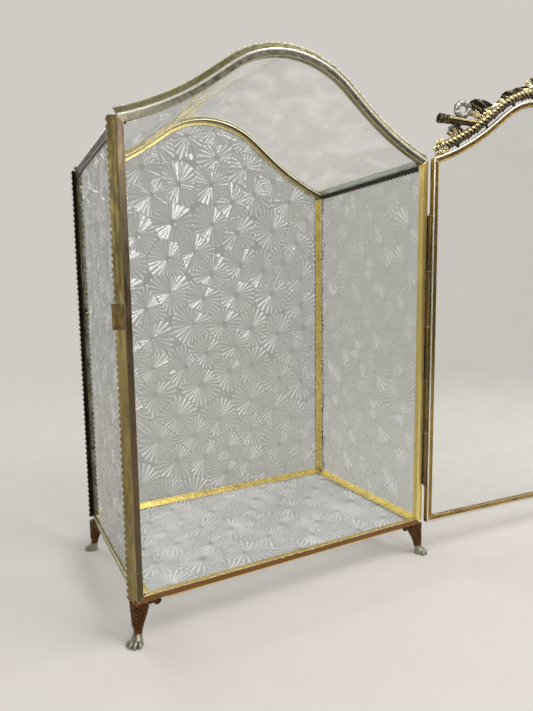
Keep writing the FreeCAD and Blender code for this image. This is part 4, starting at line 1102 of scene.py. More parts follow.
    def thicken(self, pane: Piece, inward: Vector, corner: Vector) -> None:
        """Draw the relief's edge down to the flat side and close it.

        Args:
            pane: The relief's open sheet.
            inward: Direction from the flat side to the relief.
            corner: A point on the flat side, in millimetres.
        """
        pick(pane, whole)
        bpy.ops.mesh.region_to_loop()
        bpy.ops.mesh.extrude_edges_move(TRANSFORM_OT_translate={"value": -inward * self.thickness * MM})
        flatten = tuple(0.0 if abs(a) > 0.5 else 1.0 for a in inward)
        bpy.ops.transform.resize(value=flatten, center_override=corner * MM)
        bpy.ops.mesh.edge_face_add()
        turn_outward(pane)

    def dress(self, finishes: Finishes) -> Piece:
        """Build the pane and dress it with its glass."""
        name, finish = f"{self.node}_starbursts", finishes[self.finish.name]
        return settle(self.build(), name, finish, Body.CASE, [self.node])


def pressed_panes() -> list[PressedPane]:
    """Lay out the four pressed panes at the places of their CAD nodes.

    Returns:
        The panes.
    """
    left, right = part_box("side_glass_left"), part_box("side_glass_right")
    back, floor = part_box("back_glass"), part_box("floor_glass")

    def spans(box: tuple[Vector, Vector]) -> Vector:
        """Sizes of a box in millimetres."""
        return (box[1] - box[0]) / MM

    def middle(box: tuple[Vector, Vector]) -> Vector:
        """Centre of a box in millimetres."""
        return (box[0] + box[1]) / 2 / MM

    side, rear, base = spans(left), spans(back), spans(floor)
    low = left[0] / MM
    return [
        PressedPane(
            "side_glass_left", (low.x, middle(left).y, low.z), (0, 1, 0), (0, 0, 1),
            side.y, side.z, side.x, PRESSED_SIDE, 11, facet=0.14, painted_glint_way=2.27, dim=0.45,
        ),
        PressedPane(
            "side_glass_right", (right[1].x / MM, middle(right).y, low.z), (0, -1, 0), (0, 0, 1),
            side.y, side.z, side.x, PRESSED_SIDE, 23, facet=0.14, painted_glint_way=-0.9, dim=0.45,
        ),
        PressedPane(
            "back_glass", (middle(back).x, back[1].y / MM, back[0].z / MM), (1, 0, 0), (0, 0, 1),
            rear.x, rear.z, rear.y, PRESSED_WALL, 37, arched=True,
        ),
        PressedPane(
            "floor_glass", (middle(floor).x, floor[0].y / MM, floor[0].z / MM), (1, 0, 0), (0, 1, 0),
            base.x, base.y, base.z, PRESSED_FLOOR, 41,
        ),
    ]


def bent_bar(bar: Piece, line: Sequence[Vector]) -> Piece:
    """Bend a bar that stands along +Z so that it follows a line.

    Args:
        bar: The straight bar, as long as the line.
        line: Points of the line, in millimetres.

    Returns:
        The bar.
    """
    curve = bpy.data.curves.new("bend", "CURVE")
    curve.dimensions = "3D"
    spline = curve.splines.new("POLY")
    spline.points.add(len(line) - 1)
    for point, place in zip(spline.points, line):
        point.co = (*(place * MM), 1.0)
    path = bpy.data.objects.new("bend", curve)
    bpy.context.collection.objects.link(path)
    modify(bar, "CURVE", object=path, deform_axis="POS_Z")
    scrap(path)
    return bar


def round_wire(line: Sequence[Vector], radius: float, sides: int = 10) -> Piece:
    """Round wire along a line.

    Args:
        line: Points of the line, in millimetres.
        radius: Radius of the wire, in millimetres.
        sides: Sides of its section.

    Returns:
        The closed wire.
    """
    length = sum((b - a).length for a, b in zip(line, line[1:]))
    wire = start("circle", vertices=sides, radius=radius * MM)
    draw_out(wire, length, len(line) - 1)
    bent_bar(wire, line)
    shade_folds()
    return wire


@dataclass
class RolledFolds:
    """Rounded folds of the strips: the front arch's ridge and the beaded edges of the door's frame."""

    front_y: float = -71.5
    door_faces: Point = (-72.1, -76.1)
    door_low: float = 26.6
    door_rise: float = 2.0
    door_strip: float = 4.6
    ridge_radius: float = 1.1
    ridge_proud: float = 0.3
    bead_radii: Point = (0.8, 0.5)
    proud: float = 0.22
    end_gap: float = 0.6
    end_lean: float = 0.3

    def arch(self, outward: float, y: float, rise: float = 0.0) -> list[Vector]:
        """Follow the arch at a distance outside its line.

        Args:
            outward: The distance, negative inside.
            y: Place from front to back.
            rise: How far the line is lifted.

        Returns:
            Points of the line, in millimetres.
        """
        reach = ARCH.half_stretch - self.end_gap + self.end_lean * min(0.0, outward)
        spots = [ARCH.at(-reach + reach * i / 60, outward) for i in range(121)]
        return [Vector((x, y, z + rise)) for x, z in spots]

    def door_edge(self, inset: float, y: float, radius: float) -> list[Piece]:
        """Lay beads round the door on one face.

        Args:
            inset: Distance in from the door's edge.
            y: Place from front to back.
            radius: Radius of the beads.

        Returns:
            The beads.
        """
        x, low = ARCH.half_width - inset, self.door_low + inset
        head = self.arch(-inset, y, self.door_rise)
        top = head[-1].z
        lines = [head]
        for side in (-1, 1):
            lines.append([Vector((side * x, y, low + (top - low) * i / 12)) for i in range(13)])
        lines.append([Vector((x * (i / 6 - 1), y, low)) for i in range(13)])
        return [round_wire(line, radius) for line in lines]

    def dress(self, finishes: Finishes) -> None:
        """Lay the folds and beads and dress them.

        Args:
            finishes: The materials by name.
        """
        ridge_y = self.front_y + self.ridge_radius - self.ridge_proud
        ridge = round_wire(self.arch(0.0, ridge_y), self.ridge_radius)
        settle(ridge, "front_arch_fold", finishes[HIGHLIT_FOLD.name], Body.CASE)
        # The door's outer bead wears the fold's painted highlight
        looks = (("door_outer_bead", HIGHLIT_FOLD), ("door_inner_bead", HANDLED_STRIP))
        insets = (self.bead_radii[0], self.door_strip - self.bead_radii[1])
        for (name, finish), radius, inset in zip(looks, self.bead_radii, insets):
            beads = []
            for y, inward in zip(self.door_faces, (-1, 1)):
                beads += self.door_edge(inset, y + inward * (radius - self.proud), radius)
            frame = join(beads)
            swing_open(frame)
            settle(frame, name, finishes[finish.name], Body.DOOR)


def swing_open(piece: Piece) -> None:
    """Turn a piece drawn on the shut door about the hinge to where the door rests."""
    pivot = Vector((*HINGE, 0)) * MM
    piece.data.transform(about(pivot, Matrix.Rotation(REST_ANGLE, 4, "Z")))


@dataclass
class Crest:
    """The cast ornament on the door's arch: rope, fringe, rosettes, torches, bows, leaves and a palmette."""

    middle_y: float = -74.1
    rope_out: float = 8.5
    rope_diameter: float = 5.2
    rope_pitch: float = 12.6
    rope_reach: float = 117.5
    rosette: Place = (106.2, 317.2, 16.2)
    bow_centre: Point = (86.2, 348.4)
    bow_radius: float = 4.6
    bow_ribbon: float = 4.8
    torch_z: float = 339.5
    torch_ends: Point = (109.2, 73.0)
    torch_radii: Point = (3.5, 2.4)
    torch_butt: float = 3.0
    curl_centre: Point = (97.0, 332.6)
    curl_scale: float = 0.55
    leaf_depth: float = 3.4
    root_out: float = 7.7
    lobes: int = 5
    lobe_turn: float = math.radians(28)
    lobe_reach: Point = (21.3, 1.2)
    lobe_width: float = 7.0
    knot: Point = (3.2, 9.0)
    fringe_step: float = 3.6
    fringe_rows: tuple[Place, ...] = ((1.0, 3.4, 0.0), (0.4, 4.6, 0.5))
    scallop: float = 3.4
    stay_step: float = 34.0
    door_rise: float = 2.0

    def at(self, x: float, z: float) -> Matrix:
        """Shift to a plan point in the crest's middle plane, in millimetres."""
        return shift(x, self.middle_y, z)

    def lobed_bar(
        self, lobes: int, radius: float, groove: float, length: float, turns: float, steps: int
    ) -> Piece:
        """Bar along +Z with rounded lobes, twisted like rope where it has turns.

        Args:
            lobes: Number of strands or flutes.
            radius: Outer radius in millimetres.
            groove: Share of the radius between two lobes.
            length: Length in millimetres.
            turns: Whole twist over the length.
            steps: Sections along the length.

        Returns:
            The closed bar.
        """
        bar = start("circle", vertices=6 * lobes, radius=radius * MM)
        for step, share in ((0, groove), (1, (1 + groove) / 2), (5, (1 + groove) / 2)):
            angles = [math.tau * (6 * n + step) / (6 * lobes) for n in range(lobes)]
            rims = [Vector((math.sin(a), math.cos(a), 0)) * radius * MM for a in angles]
            near = 0.02 * radius * MM
            stretch(bar, lambda co: min((co - r).length for r in rims) < near, (share, share, 1), (0, 0, 0))
        draw_out(bar, length, steps, turns)
        return bar

    def rope(self) -> Piece:
        """Twist a rope of three strands and bend it along the arch.

        Returns:
            The rope.
        """
        line = [ARCH.at(self.rope_reach * (i / 80 - 1), self.rope_out) for i in range(161)]
        length = sum(math.dist(a, b) for a, b in zip(line, line[1:]))
        turns = round(length / self.rope_pitch)
        bar = self.lobed_bar(3, self.rope_diameter / 2, 0.42, length, turns, 24 * turns)
        return bent_bar(bar, [Vector((x, self.middle_y, z)) for x, z in line])

    def leaf_pattern(self) -> Piece:
        """Model a pointed leaf along +X, a unit long and wide, ribbed on both faces.

        Returns:
            The leaf.
        """
        rows = 12
        leaf = start("grid", x_subdivisions=rows, y_subdivisions=6, size=1.0, location=(0.5, 0, 0))
        for row in range(rows + 1):
            t = row / rows
            share = max(0.06, math.sin(math.pi * t**0.75) ** 0.8) * (1.0 if row % 2 else 0.8)
            stretch(leaf, lambda co: abs(co.x - t) < 0.01, (1, share, 1), (t, 0, 0))
            bpy.ops.transform.translate(value=(-0.03 * (row % 2), 0, 0))
        hold(leaf)
        for vert in leaf.data.vertices:
            column, row = vert.index % 7, vert.index // 7
            rise = (0.0, 0.32, 0.16, 0.5, 0.16, 0.32, 0.0)[column]
            if column in (1, 2, 4, 5) and row % 2:
                rise += 0.16
            vert.co.z = rise * (0.35 + 0.65 * math.sin(math.pi * min(1.0, 0.12 + 0.8 * row / rows)))
        modify(leaf, "MIRROR", use_axis=(False, False, True), merge_threshold=1e-4)
        smooth_surface(leaf, 1)
        turn_outward(leaf)
        shade_round(leaf)
        return leaf

    def petal_pattern(self) -> Piece:
        """Model a petal along +X, a unit long, cupped, with a middle groove.

        Returns:
            The petal.
        """
        petal = start("uv_sphere", segments=12, ring_count=8, radius=0.5, location=(0.55, 0, 0))
        stretch(petal, whole, (1.0, 0.78, 0.7), (0.55, 0, 0))
        stretch(petal, lambda co: co.x < 0.25, (1.0, 0.5, 0.8), (0.05, 0, 0))
        stretch(petal, lambda co: abs(co.y) < 0.06 and co.x > 0.3, (1.0, 1.0, 0.6), (0.55, 0, 0))
        shade_round(petal)
        return petal

    def rosette_pattern(self, petal: Piece) -> Piece:
        """Model a flower in the XY plane, a unit across, of petals round an uneven heart.

        Args:
            petal: The pattern of its petals, one ring outside and one on each face.

        Returns:
            The flower.
        """
        parts = []
        rings = ((8, 0.36, 0.13, 0.0, 0.0), (5, 0.27, 0.04, 0.18, 0.3), (5, 0.27, 0.04, -0.18, 0.3))
        for petals, size, out, lift, turn in rings:
            for n in range(petals):
                spin = Matrix.Rotation(turn + math.tau * n / petals, 4, "Z")
                tilt = Matrix.Translation((out, 0, lift)) @ Matrix.Scale(size, 4)
                parts.append(cast_copy(petal, spin @ tilt))
        heart = start("ico_sphere", subdivisions=2, radius=0.1)
        pick(heart, whole)
        bpy.ops.transform.resize(value=(1.0, 1.0, 2.8))
        bpy.ops.transform.vertex_random(offset=0.012, seed=4)
        hold(heart)
        smooth_surface(heart, 1)
        return join([heart] + parts)

    def scallop_pattern(self) -> Piece:
        """Model a small leaf of the fringe along +X, a few dozen faces, a unit long.

        Returns:
            The leaf.
        """
        scallop = start("uv_sphere", segments=8, ring_count=5, radius=0.5, location=(0.5, 0, 0))
        stretch(scallop, whole, (1.0, 0.95, 0.5), (0.5, 0, 0))
        stretch(scallop, lambda co: co.x > 0.8, (1.0, 0.6, 0.8), (0.9, 0, 0))
        shade_round(scallop)
        return scallop

    def torch(self) -> Piece:
        """Model a fluted torch that lies level from its thick butt, with a rim and collars.

        Returns:
            The torch, in its place.
        """
        length = self.torch_ends[0] - self.torch_ends[1]
        thick, thin = self.torch_radii
        long, steps = length - self.torch_butt, 16
        shaft = self.lobed_bar(8, thick * 0.92, 0.84, long, 0.0, steps)
        for step in range(steps + 1):
            z = long * step / steps
            share = 1 - (1 - thin / thick) * step / steps
            stretch(shaft, lambda co: abs(co.z - z * MM) < 0.05 * MM, (share, share, 1), (0, 0, z * MM))
            bpy.ops.transform.translate(value=(0, 0, self.torch_butt * MM))
        hold(shaft)
        # Rim, hollow mouth and collars, each drawn out of a disc ring by ring
        profile = (
            (1.4, 0.5), (-1.0, 0.62), (-0.4, 0.82), (0.3, 1.0), (0.9, 1.02), (0.5, 0.9), (0.4, 0.8),
            (0.5, 0.84), (0.3, 1.0), (0.8, 1.0), (0.3, 0.86), (4.0, 0.84), (0.3, 0.94), (0.8, 0.94),
            (0.3, 0.82),
        )
        heights = accumulate(rise for rise, _ in profile)
        knob = ringed(16, [(wide * thick, (0, 0, z)) for z, (_, wide) in zip(heights, profile)])
        # The butt is ragged, like burnt wood
        pick(knob, lambda co: co.z < 2.2 * MM)
        bpy.ops.transform.vertex_random(offset=0.35 * MM, seed=7)
        hold(knob)
        torch = join([shaft, knob])
        shade_folds()
        lay = self.at(self.torch_ends[0], self.torch_z)
        torch.data.transform(lay @ Matrix.Rotation(-math.pi / 2, 4, "Y"))
        return torch

    def bow(self, centre: Point, wide: float, turn: float) -> Piece:
        """Loop of folded ribbon.

        Args:
            centre: Plan point (x, z) of its middle.
            wide: Scale of its width.
            turn: Tilt in its plane, in radians.

        Returns:
            The loop.
        """
        ring = start(
            "torus", major_radius=self.bow_radius * MM, minor_radius=self.bow_ribbon / 2 * MM,
            major_segments=36, minor_segments=10,
        )
        near = 0.06 * self.bow_radius * MM
        for fold in range(6):
            angle = math.tau * fold / 6
            rim = Vector((math.cos(angle), math.sin(angle), 0))
            stretch(
                ring, lambda co: co.dot(rim) > 0 and abs(co.x * rim.y - co.y * rim.x) < near,
                (0.9, 0.9, 0.5), rim * self.bow_radius * MM,
            )
        hold(ring)
        smooth_surface(ring, 1)
        shade_round(ring)
        stand = self.at(*centre) @ Matrix.Rotation(math.pi / 2, 4, "X")
        ring.data.transform(stand @ Matrix.Rotation(turn, 4, "Z") @ Matrix.Diagonal((wide, 1, 0.6, 1)))
        return ring

    def place_leaves(self, leaf: Piece, spans: Sequence[tuple[Point, Point, float]]) -> list[Piece]:
        """Place leaves from their roots to their tips.

        Args:
            leaf: The pattern of the leaves.
            spans: Root, tip and width of each, in millimetres.

        Returns:
            The leaves.
        """
        depth = self.leaf_depth * MM
        places = [upright(foot, tip, self.middle_y, width * MM, depth) for foot, tip, width in spans]
        return [cast_copy(leaf, place) for place in places]

    def place_flowers(self, flower: Piece, spots: Sequence[Place]) -> list[Piece]:
        """Place flowers at plan points.

        Args:
            flower: The pattern of the flowers.
            spots: Plan point and diameter of each, in millimetres.

        Returns:
            The flowers.
        """
        pieces = []
        for turn, (x, z, size) in enumerate(spots):
            face = Matrix.Rotation(math.pi / 2, 4, "X") @ Matrix.Rotation(0.4 * turn, 4, "Z")
            scale = Matrix.Diagonal((size * MM, size * MM, min(0.52 * size, 6.0) * MM, 1))
            pieces.append(cast_copy(flower, self.at(x, z) @ face @ scale))
        return pieces

    def gilt_half(self, leaf: Piece, flower: Piece) -> list[Piece]:
        """Make the gilt parts on the right half: rosette, flowers, leaves and the torch's stripes, gilt bars
        that paint its highlight line.

        Args:
            leaf: The pattern of the leaves.
            flower: The pattern of the flowers.

        Returns:
            The parts.
        """
        flowers = [
            self.rosette, (72.3, 346.4, 7.6), (66.2, 343.6, 8.6), (70.0, 340.6, 6.6), (60.0, 348.0, 6.6),
            (19.0, 375.2, 7.5), (27.0, 368.0, 6.0),
        ]
        leaves = [
            ((67.0, 342.0), (54.5, 355.0), 8.0), ((59.0, 348.0), (45.5, 361.5), 7.6),
            ((50.0, 355.0), (41.0, 363.5), 6.6), ((88.0, 330.0), (99.5, 334.0), 4.2),
            ((31.0, 364.0), (14.0, 377.0), 6.5), ((20.0, 368.0), (6.0, 381.0), 6.5),
            ((92.5, 327.5), (101.0, 330.0), 3.6), ((80.0, 348.0), (69.0, 343.5), 4.5),
        ]
        pieces = self.place_flowers(flower, flowers) + self.place_leaves(leaf, leaves)
        # Painted highlight: a gilt bar along each face of the torch
        for face in (-1, 1):
            ends = [(self.torch_ends[0] - 7.0, 3.0), (self.torch_ends[1] + 1.0, 2.1)]
            line = [Vector((x, self.middle_y + face * y, self.torch_z + 0.5)) for x, y in ends]
            pieces.append(round_wire([line[0].lerp(line[1], i / 8) for i in range(9)], 0.75))
        return pieces

    def dark_half(self, leaf: Piece) -> list[Piece]:
        """Make the dark parts on the right half: torch and leaves.

        Args:
            leaf: The pattern of the leaves.

        Returns:
            The parts.
        """
        leaves = [
            ((80.0, 353.5), (56.5, 355.0), 8.5), ((78.5, 350.5), (61.0, 348.5), 5.5),
            ((47.5, 362.8), (24.0, 370.3), 7.0), ((86.0, 333.0), (100.0, 332.0), 5.0),
            ((88.0, 336.5), (98.0, 334.5), 5.0), ((36.0, 368.0), (18.0, 373.5), 5.0),
        ]
        return [self.torch()] + self.place_leaves(leaf, leaves)

    def silver_half(self) -> list[Piece]:
        """Make the silvery parts on the right half: the bow over the torch and the small curl under it.

        Returns:
            The parts.
        """
        curl = self.bow(self.curl_centre, 0.62, 0.5)
        middle = self.at(*self.curl_centre).translation
        curl.data.transform(about(middle, Matrix.Scale(self.curl_scale, 4)))
        return [self.bow(self.bow_centre, 1.32, -0.25), curl]

    def palmette(self, leaf: Piece, flower: Piece) -> list[Piece]:
        """Make the palmette over the crown, with a knot at its root.

        Args:
            leaf: The pattern of the leaves.
            flower: The pattern of the flowers.

        Returns:
            Its leaves and the knot.
        """
        root = ARCH.at(0, self.root_out)
        longest, less = self.lobe_reach
        spans = []
        for lobe in range(self.lobes):
            place = lobe - self.lobes // 2
            angle, reach = self.lobe_turn * place, longest - less * abs(place)
            tip = (root[0] + reach * math.sin(angle), root[1] + reach * math.cos(angle))
            spans.append((root, tip, self.lobe_width))
        rise, size = self.knot
        return self.place_leaves(leaf, spans) + self.place_flowers(flower, [(root[0], root[1] + rise, size)])

    def fringe(self) -> list[Piece]:
        """Make the scalloped leaves in two rows under the rope, whose dark finish paints the shade there.

        Returns:
            The leaves.
        """
        scallop = self.scallop_pattern()
        pieces = []
        count = 2 * int((self.rope_reach - 6) / self.fringe_step) + 1
        for n in range(count):
            s = self.fringe_step * (n - count // 2)
            lean = 1.0 if s >= 0 else -1.0
            for begin, long, ahead in self.fringe_rows:
                way = s + ahead * self.fringe_step
                foot = ARCH.at(way, self.rope_out - begin)
                tip = ARCH.at(way + 0.7 * lean, self.rope_out - begin - long * (1.0 if n % 3 else 1.15))
                place = upright(foot, tip, self.middle_y, self.scallop * MM, self.scallop * MM)
                pieces.append(cast_copy(scallop, place))
        scrap(scallop)
        return pieces

    def stays(self) -> list[Piece]:
        """Make the waisted stays that carry the rope on the arch.

        Returns:
            The stays.
        """
        stay = start("cylinder", vertices=12, radius=1.0 * MM, depth=1.0, location=(0, 0, 0.5))
        pick(stay, whole)
        bpy.ops.mesh.subdivide(number_cuts=3)
        pick(stay, lambda co: 0.3 < co.z < 0.7)
        bpy.ops.transform.resize(value=(0.75, 0.75, 1))
        hold(stay)
        pieces = []
        for n in range(-3, 4):
            (x, z), head = ARCH.at(self.stay_step * n, 0.2), ARCH.at(self.stay_step * n, self.rope_out)
            foot = (x, z + self.door_rise)
            rise = Vector((head[0] - foot[0], 0, head[1] - foot[1])) * MM
            turn = rise.to_track_quat("Z", "Y").to_matrix().to_4x4()
            place = self.at(*foot) @ turn
            pieces.append(cast_copy(stay, place @ Matrix.Diagonal((1, 1, rise.length, 1))))
        scrap(stay)
        return pieces

    def dress(self, finishes: Finishes) -> None:
        """Build the crest as on a shut door, swing it open with the door and dress it.

        Args:
            finishes: The materials by name.
        """
        leaf, petal = self.leaf_pattern(), self.petal_pattern()
        flower = self.rosette_pattern(petal)
        gilt = join(self.gilt_half(leaf, flower))
        dark = join(self.dark_half(leaf))
        silver = join(self.silver_half())
        for half in (gilt, dark, silver):
            modify(half, "MIRROR", use_mirror_merge=False)
        gilt = join([self.rope(), gilt] + self.palmette(leaf, flower))
        dark = join([dark] + self.fringe() + self.stays())
        for pattern in (leaf, petal, flower):
            scrap(pattern)
        for piece in (gilt, dark, silver):
            swing_open(piece)
            hold(piece)
            shade_folds()
        settle(gilt, "crest_gilt_casting", finishes[CAST_CREST.name], Body.DOOR, ["door_crest"])
        settle(dark, "crest_dark_casting", finishes[DARK_CREST.name], Body.DOOR)
        settle(silver, "crest_silver_casting", finishes[SILVER_CREST.name], Body.DOOR)


@dataclass
class Feet:
    """Four cast feet: a square leg under the corner, leaf ears along the rails and a fan-shaped paw."""

    corner: Point = (114.0, 68.5)
    height: float = 26.0
    leg_corner: float = 3.9
    stations: tuple[Point, ...] = ((26.0, 7.0), (21.5, 6.6), (17.5, 5.8), (13.0, 4.5), (8.5, 3.5), (5.0, 3.3))
    paw_rings: tuple[Place, ...] = (
        (6.8, 2.6, 0.6), (5.2, 3.0, 1.2), (3.4, 3.7, 2.1), (1.6, 4.3, 2.8), (-0.4, 4.6, 3.0),
    )
    leg_flat: float = 0.7071
    curl_rows: tuple[float, ...] = (23.8, 21.2, 18.6, 16.0, 13.6, 11.4)
    toes: int = 4
    toe_fan: float = math.radians(112)
    # Lumps of a toe: root ahead of the corner, reach ahead and aside, height, sizes and tilt
    toe_lumps: tuple[tuple[float, Point, float, Place, float], ...] = (
        (2.9, (3.3, 3.7), 1.6, (5.8, 2.7, 3.7), 0.5),
        (2.9, (4.5, 4.8), 0.8, (2.4, 2.0, 2.4), 0.5),
        (1.6, (2.0, 2.5), 4.2, (5.0, 1.2, 2.0), 0.95),
    )
    ear: Place = (12.6, 2.6, 4.5)
    ear_turn: float = 3 * math.pi / 4
    scroll: float = 2.6
    scroll_wire: float = 0.7
    bead: Place = (1.9, 3.6, 2.5)
    grain: float = 0.3

    def leg(self) -> Piece:
        """Model the square leg that narrows downwards, drawn out of a square ring by ring.

        Returns:
            The leg.
        """
        leg = ringed(4, [(reach, (self.leg_corner - reach, 0, z)) for z, reach in self.stations])
        modify(leg, "BEVEL", width=0.7 * MM, segments=2, limit_method="ANGLE")
        return leg

    def lump(
        self, place: Sequence[float], sizes: Sequence[float], turn: float = 0.0, tip: float = 0.0
    ) -> Piece:
        """Rounded lump of the casting.

        Args:
            place: Middle, in the foot's own frame.
            sizes: Length, width and height.
            turn: Turn about the upright, in radians.
            tip: Tilt of its length, in radians.

        Returns:
            The lump.
        """
        lump = start("uv_sphere", segments=20, ring_count=12, radius=0.5)
        spin = Matrix.Rotation(turn, 4, "Z") @ Matrix.Rotation(tip, 4, "Y")
        scale = Matrix.Diagonal((*(Vector(sizes) * MM), 1))
        lump.data.transform(shift(*place) @ spin @ scale)
        return lump

    def reach_at(self, z: float) -> float:
        """Measure the leg at a height.

        Args:
            z: The height in millimetres.

        Returns:
            Half its diagonal.
        """
        for (high, wide), (low, narrow) in zip(self.stations, self.stations[1:]):
            if low <= z <= high:
                return narrow + (wide - narrow) * (z - low) / (high - low)
        return self.stations[-1][1]

    def relief(self) -> list[Piece]:
        """Model the leaf down each outer face of the leg, with a midrib and curled side lobes.

        Returns:
            The lumps of the leaves.
        """
        pieces = []
        for way in (1, -1):
            out = Vector((math.cos(way * math.pi / 4), math.sin(way * math.pi / 4)))
            along = Vector((-out.y, out.x)) * way
            turn = math.atan2(out.y, out.x)
            for z in self.curl_rows:
                reach = self.reach_at(z)
                face = self.leg_flat * reach
                middle = Vector((self.leg_corner - reach, 0))
                for lane in (-1, 1):
                    spot = middle + out * (face + 0.05) + along * lane * face * 0.55
                    curl = self.lump((0, 0, 0), (1.5, 0.85 * face, 1.5))
                    spin = Matrix.Rotation(turn, 4, "Z") @ Matrix.Rotation(0.75 * lane * way, 4, "X")
                    curl.data.transform(shift(spot.x, spot.y, z) @ spin)
                    pieces.append(curl)
                rib = middle + out * (face + 0.15)
                pieces.append(self.lump((rib.x, rib.y, z), (1.1, 0.9, 3.4), turn))
        return pieces

    def paw(self) -> list[Piece]:
        """Model the fan-shaped paw on a flat sole, with toes parted by grooves.

        Returns:
            The fan and the lumps of the toes.
        """
        pieces = [ringed(32, [(radius, (reach, 0, z)) for z, radius, reach in self.paw_rings])]
        for toe in range(self.toes):
            angle = self.toe_fan * (toe / (self.toes - 1) - 0.5)
            for root, (ahead, aside), z, sizes, tilt in self.toe_lumps:
                place = (root + ahead * math.cos(angle), aside * math.sin(angle), z)
                pieces.append(self.lump(place, sizes, angle, tilt))
        return pieces

    def ears(self) -> list[Piece]:
        """Model the ears that lie under the two rails, each ending in a scroll with beads along it.

        Returns:
            The ears, scrolls and beads.
        """
        length, thick, tall = self.ear
        pieces = []
        for way in (1, -1):
            turn = Matrix.Rotation(way * self.ear_turn, 4, "Z")
            ear = start("cube", size=1.0, location=(0.5, 0, -0.5))
            pick(ear, lambda co: co.x > 0.9 and co.z < -0.9)
            bpy.ops.transform.translate(value=(0, 0, 0.45))
            hold(ear)
            modify(ear, "BEVEL", width=0.06, segments=2)
            scale = Matrix.Diagonal((length * MM, thick * MM, tall * MM, 1))
            ear.data.transform(turn @ Matrix.Translation((0, 0, self.height * MM)) @ scale)
            pieces.append(ear)
            wire = self.scroll_wire
            scroll = start(
                "torus", major_radius=(self.scroll - wire) * MM, minor_radius=wire * MM,
                major_segments=24, minor_segments=10,
            )
            bud = start("uv_sphere", segments=12, ring_count=8, radius=1.0 * MM)
            curl = join([scroll, bud])
            stand = shift(length, 0, self.height - self.scroll) @ Matrix.Rotation(math.pi / 2, 4, "X")
            curl.data.transform(turn @ stand @ Matrix.Diagonal((1, 1, 1.7, 1)))
            pieces.append(curl)
            for bead in range(4):
                spot = turn @ Vector((5.0 + 2.0 * bead, 0, self.height - 2.1 - 0.1 * bead))
                pieces.append(self.lump(tuple(spot), self.bead, way * self.ear_turn, 0.3))
        return pieces

    def pattern(self) -> Piece:
        """Cast one foot in one piece, with its top and its sole cut flat.

        Returns:
            The foot.
        """
        foot = join([self.leg()] + self.relief() + self.paw() + self.ears())
        modify(foot, "REMESH", mode="VOXEL", voxel_size=self.grain * MM)
        modify(foot, "SMOOTH", factor=0.4, iterations=1)
        for place, way in (((0, 0, 0), -1), ((0, 0, self.height * MM), 1)):
            pick(foot, whole)
            bpy.ops.mesh.bisect(
                plane_co=place, plane_no=(0, 0, way), clear_outer=True, use_fill=True, threshold=1e-7
            )
        shade_round(foot)
        return foot

    def dress(self, finishes: Finishes) -> list[Piece]:
        """Set a copy of the foot under each corner and dress it.

        Args:
            finishes: The materials by name.

        Returns:
            The feet.
        """
        pattern = self.pattern()
        feet = []
        for depth, y in (("front", -1), ("back", 1)):
            for side, x in (("left", -1), ("right", 1)):
                corner = shift(x * self.corner[0], y * self.corner[1], 0)
                foot = cast_copy(pattern, corner @ Matrix.Rotation(math.atan2(y, x), 4, "Z"))
                node, finish = f"foot_{depth}_{side}", finishes[CAST_FOOT.name]
                feet.append(settle(foot, f"{node}_casting", finish, Body.CASE, [node]))
        scrap(pattern)
        return feet


@dataclass
class SolderedJoints:
    """Lumps of solder where strips meet."""

    size: float = 2.4
    seed: int = 5
    inset: Place = (2.2, 0.8, 0.5)

    def lump_pattern(self) -> Piece:
        """Model a flattened uneven drop, a unit across.

        Returns:
            The drop.
        """
        drop = start("ico_sphere", subdivisions=2, radius=0.5)
        pick(drop, whole)
        bpy.ops.transform.vertex_random(offset=0.05, seed=self.seed)
        stretch(drop, lambda co: co.z < -0.1, (1.15, 1.15, 0.4), (0, 0, 0))
        hold(drop)
        smooth_surface(drop, 1)
        shade_round(drop)
        return drop

    def dress(self, finishes: Finishes) -> Piece:
        """Put drops in the case's inner corners and dress them.

        Args:
            finishes: The materials by name.

        Returns:
            The joined drops.
        """
        pattern = self.lump_pattern()
        dice = random.Random(self.seed)
        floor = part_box("floor_glass")
        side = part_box("inner_strip_shoulder_left")
        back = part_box("inner_strip_back_left")
        corners = (
            (back[0].y, floor[1].z), (back[0].y, side[1].z), (side[0].y, side[1].z), (floor[0].y, floor[1].z),
        )
        inward, behind, over = (a * MM for a in self.inset)
        drops = []
        for x in (-1, 1):
            for y, z in corners:
                place = Vector((x * (abs(back[0].x) - inward), y + behind, z + over))
                turn = Matrix.Rotation(dice.uniform(0, math.tau), 4, "Z")
                scale = Matrix.Scale(self.size * dice.uniform(0.8, 1.2) * MM, 4)
                drops.append(cast_copy(pattern, Matrix.Translation(place) @ turn @ scale))
        scrap(pattern)
        return settle(join(drops), "solder_drops", finishes[Solder().name], Body.CASE)


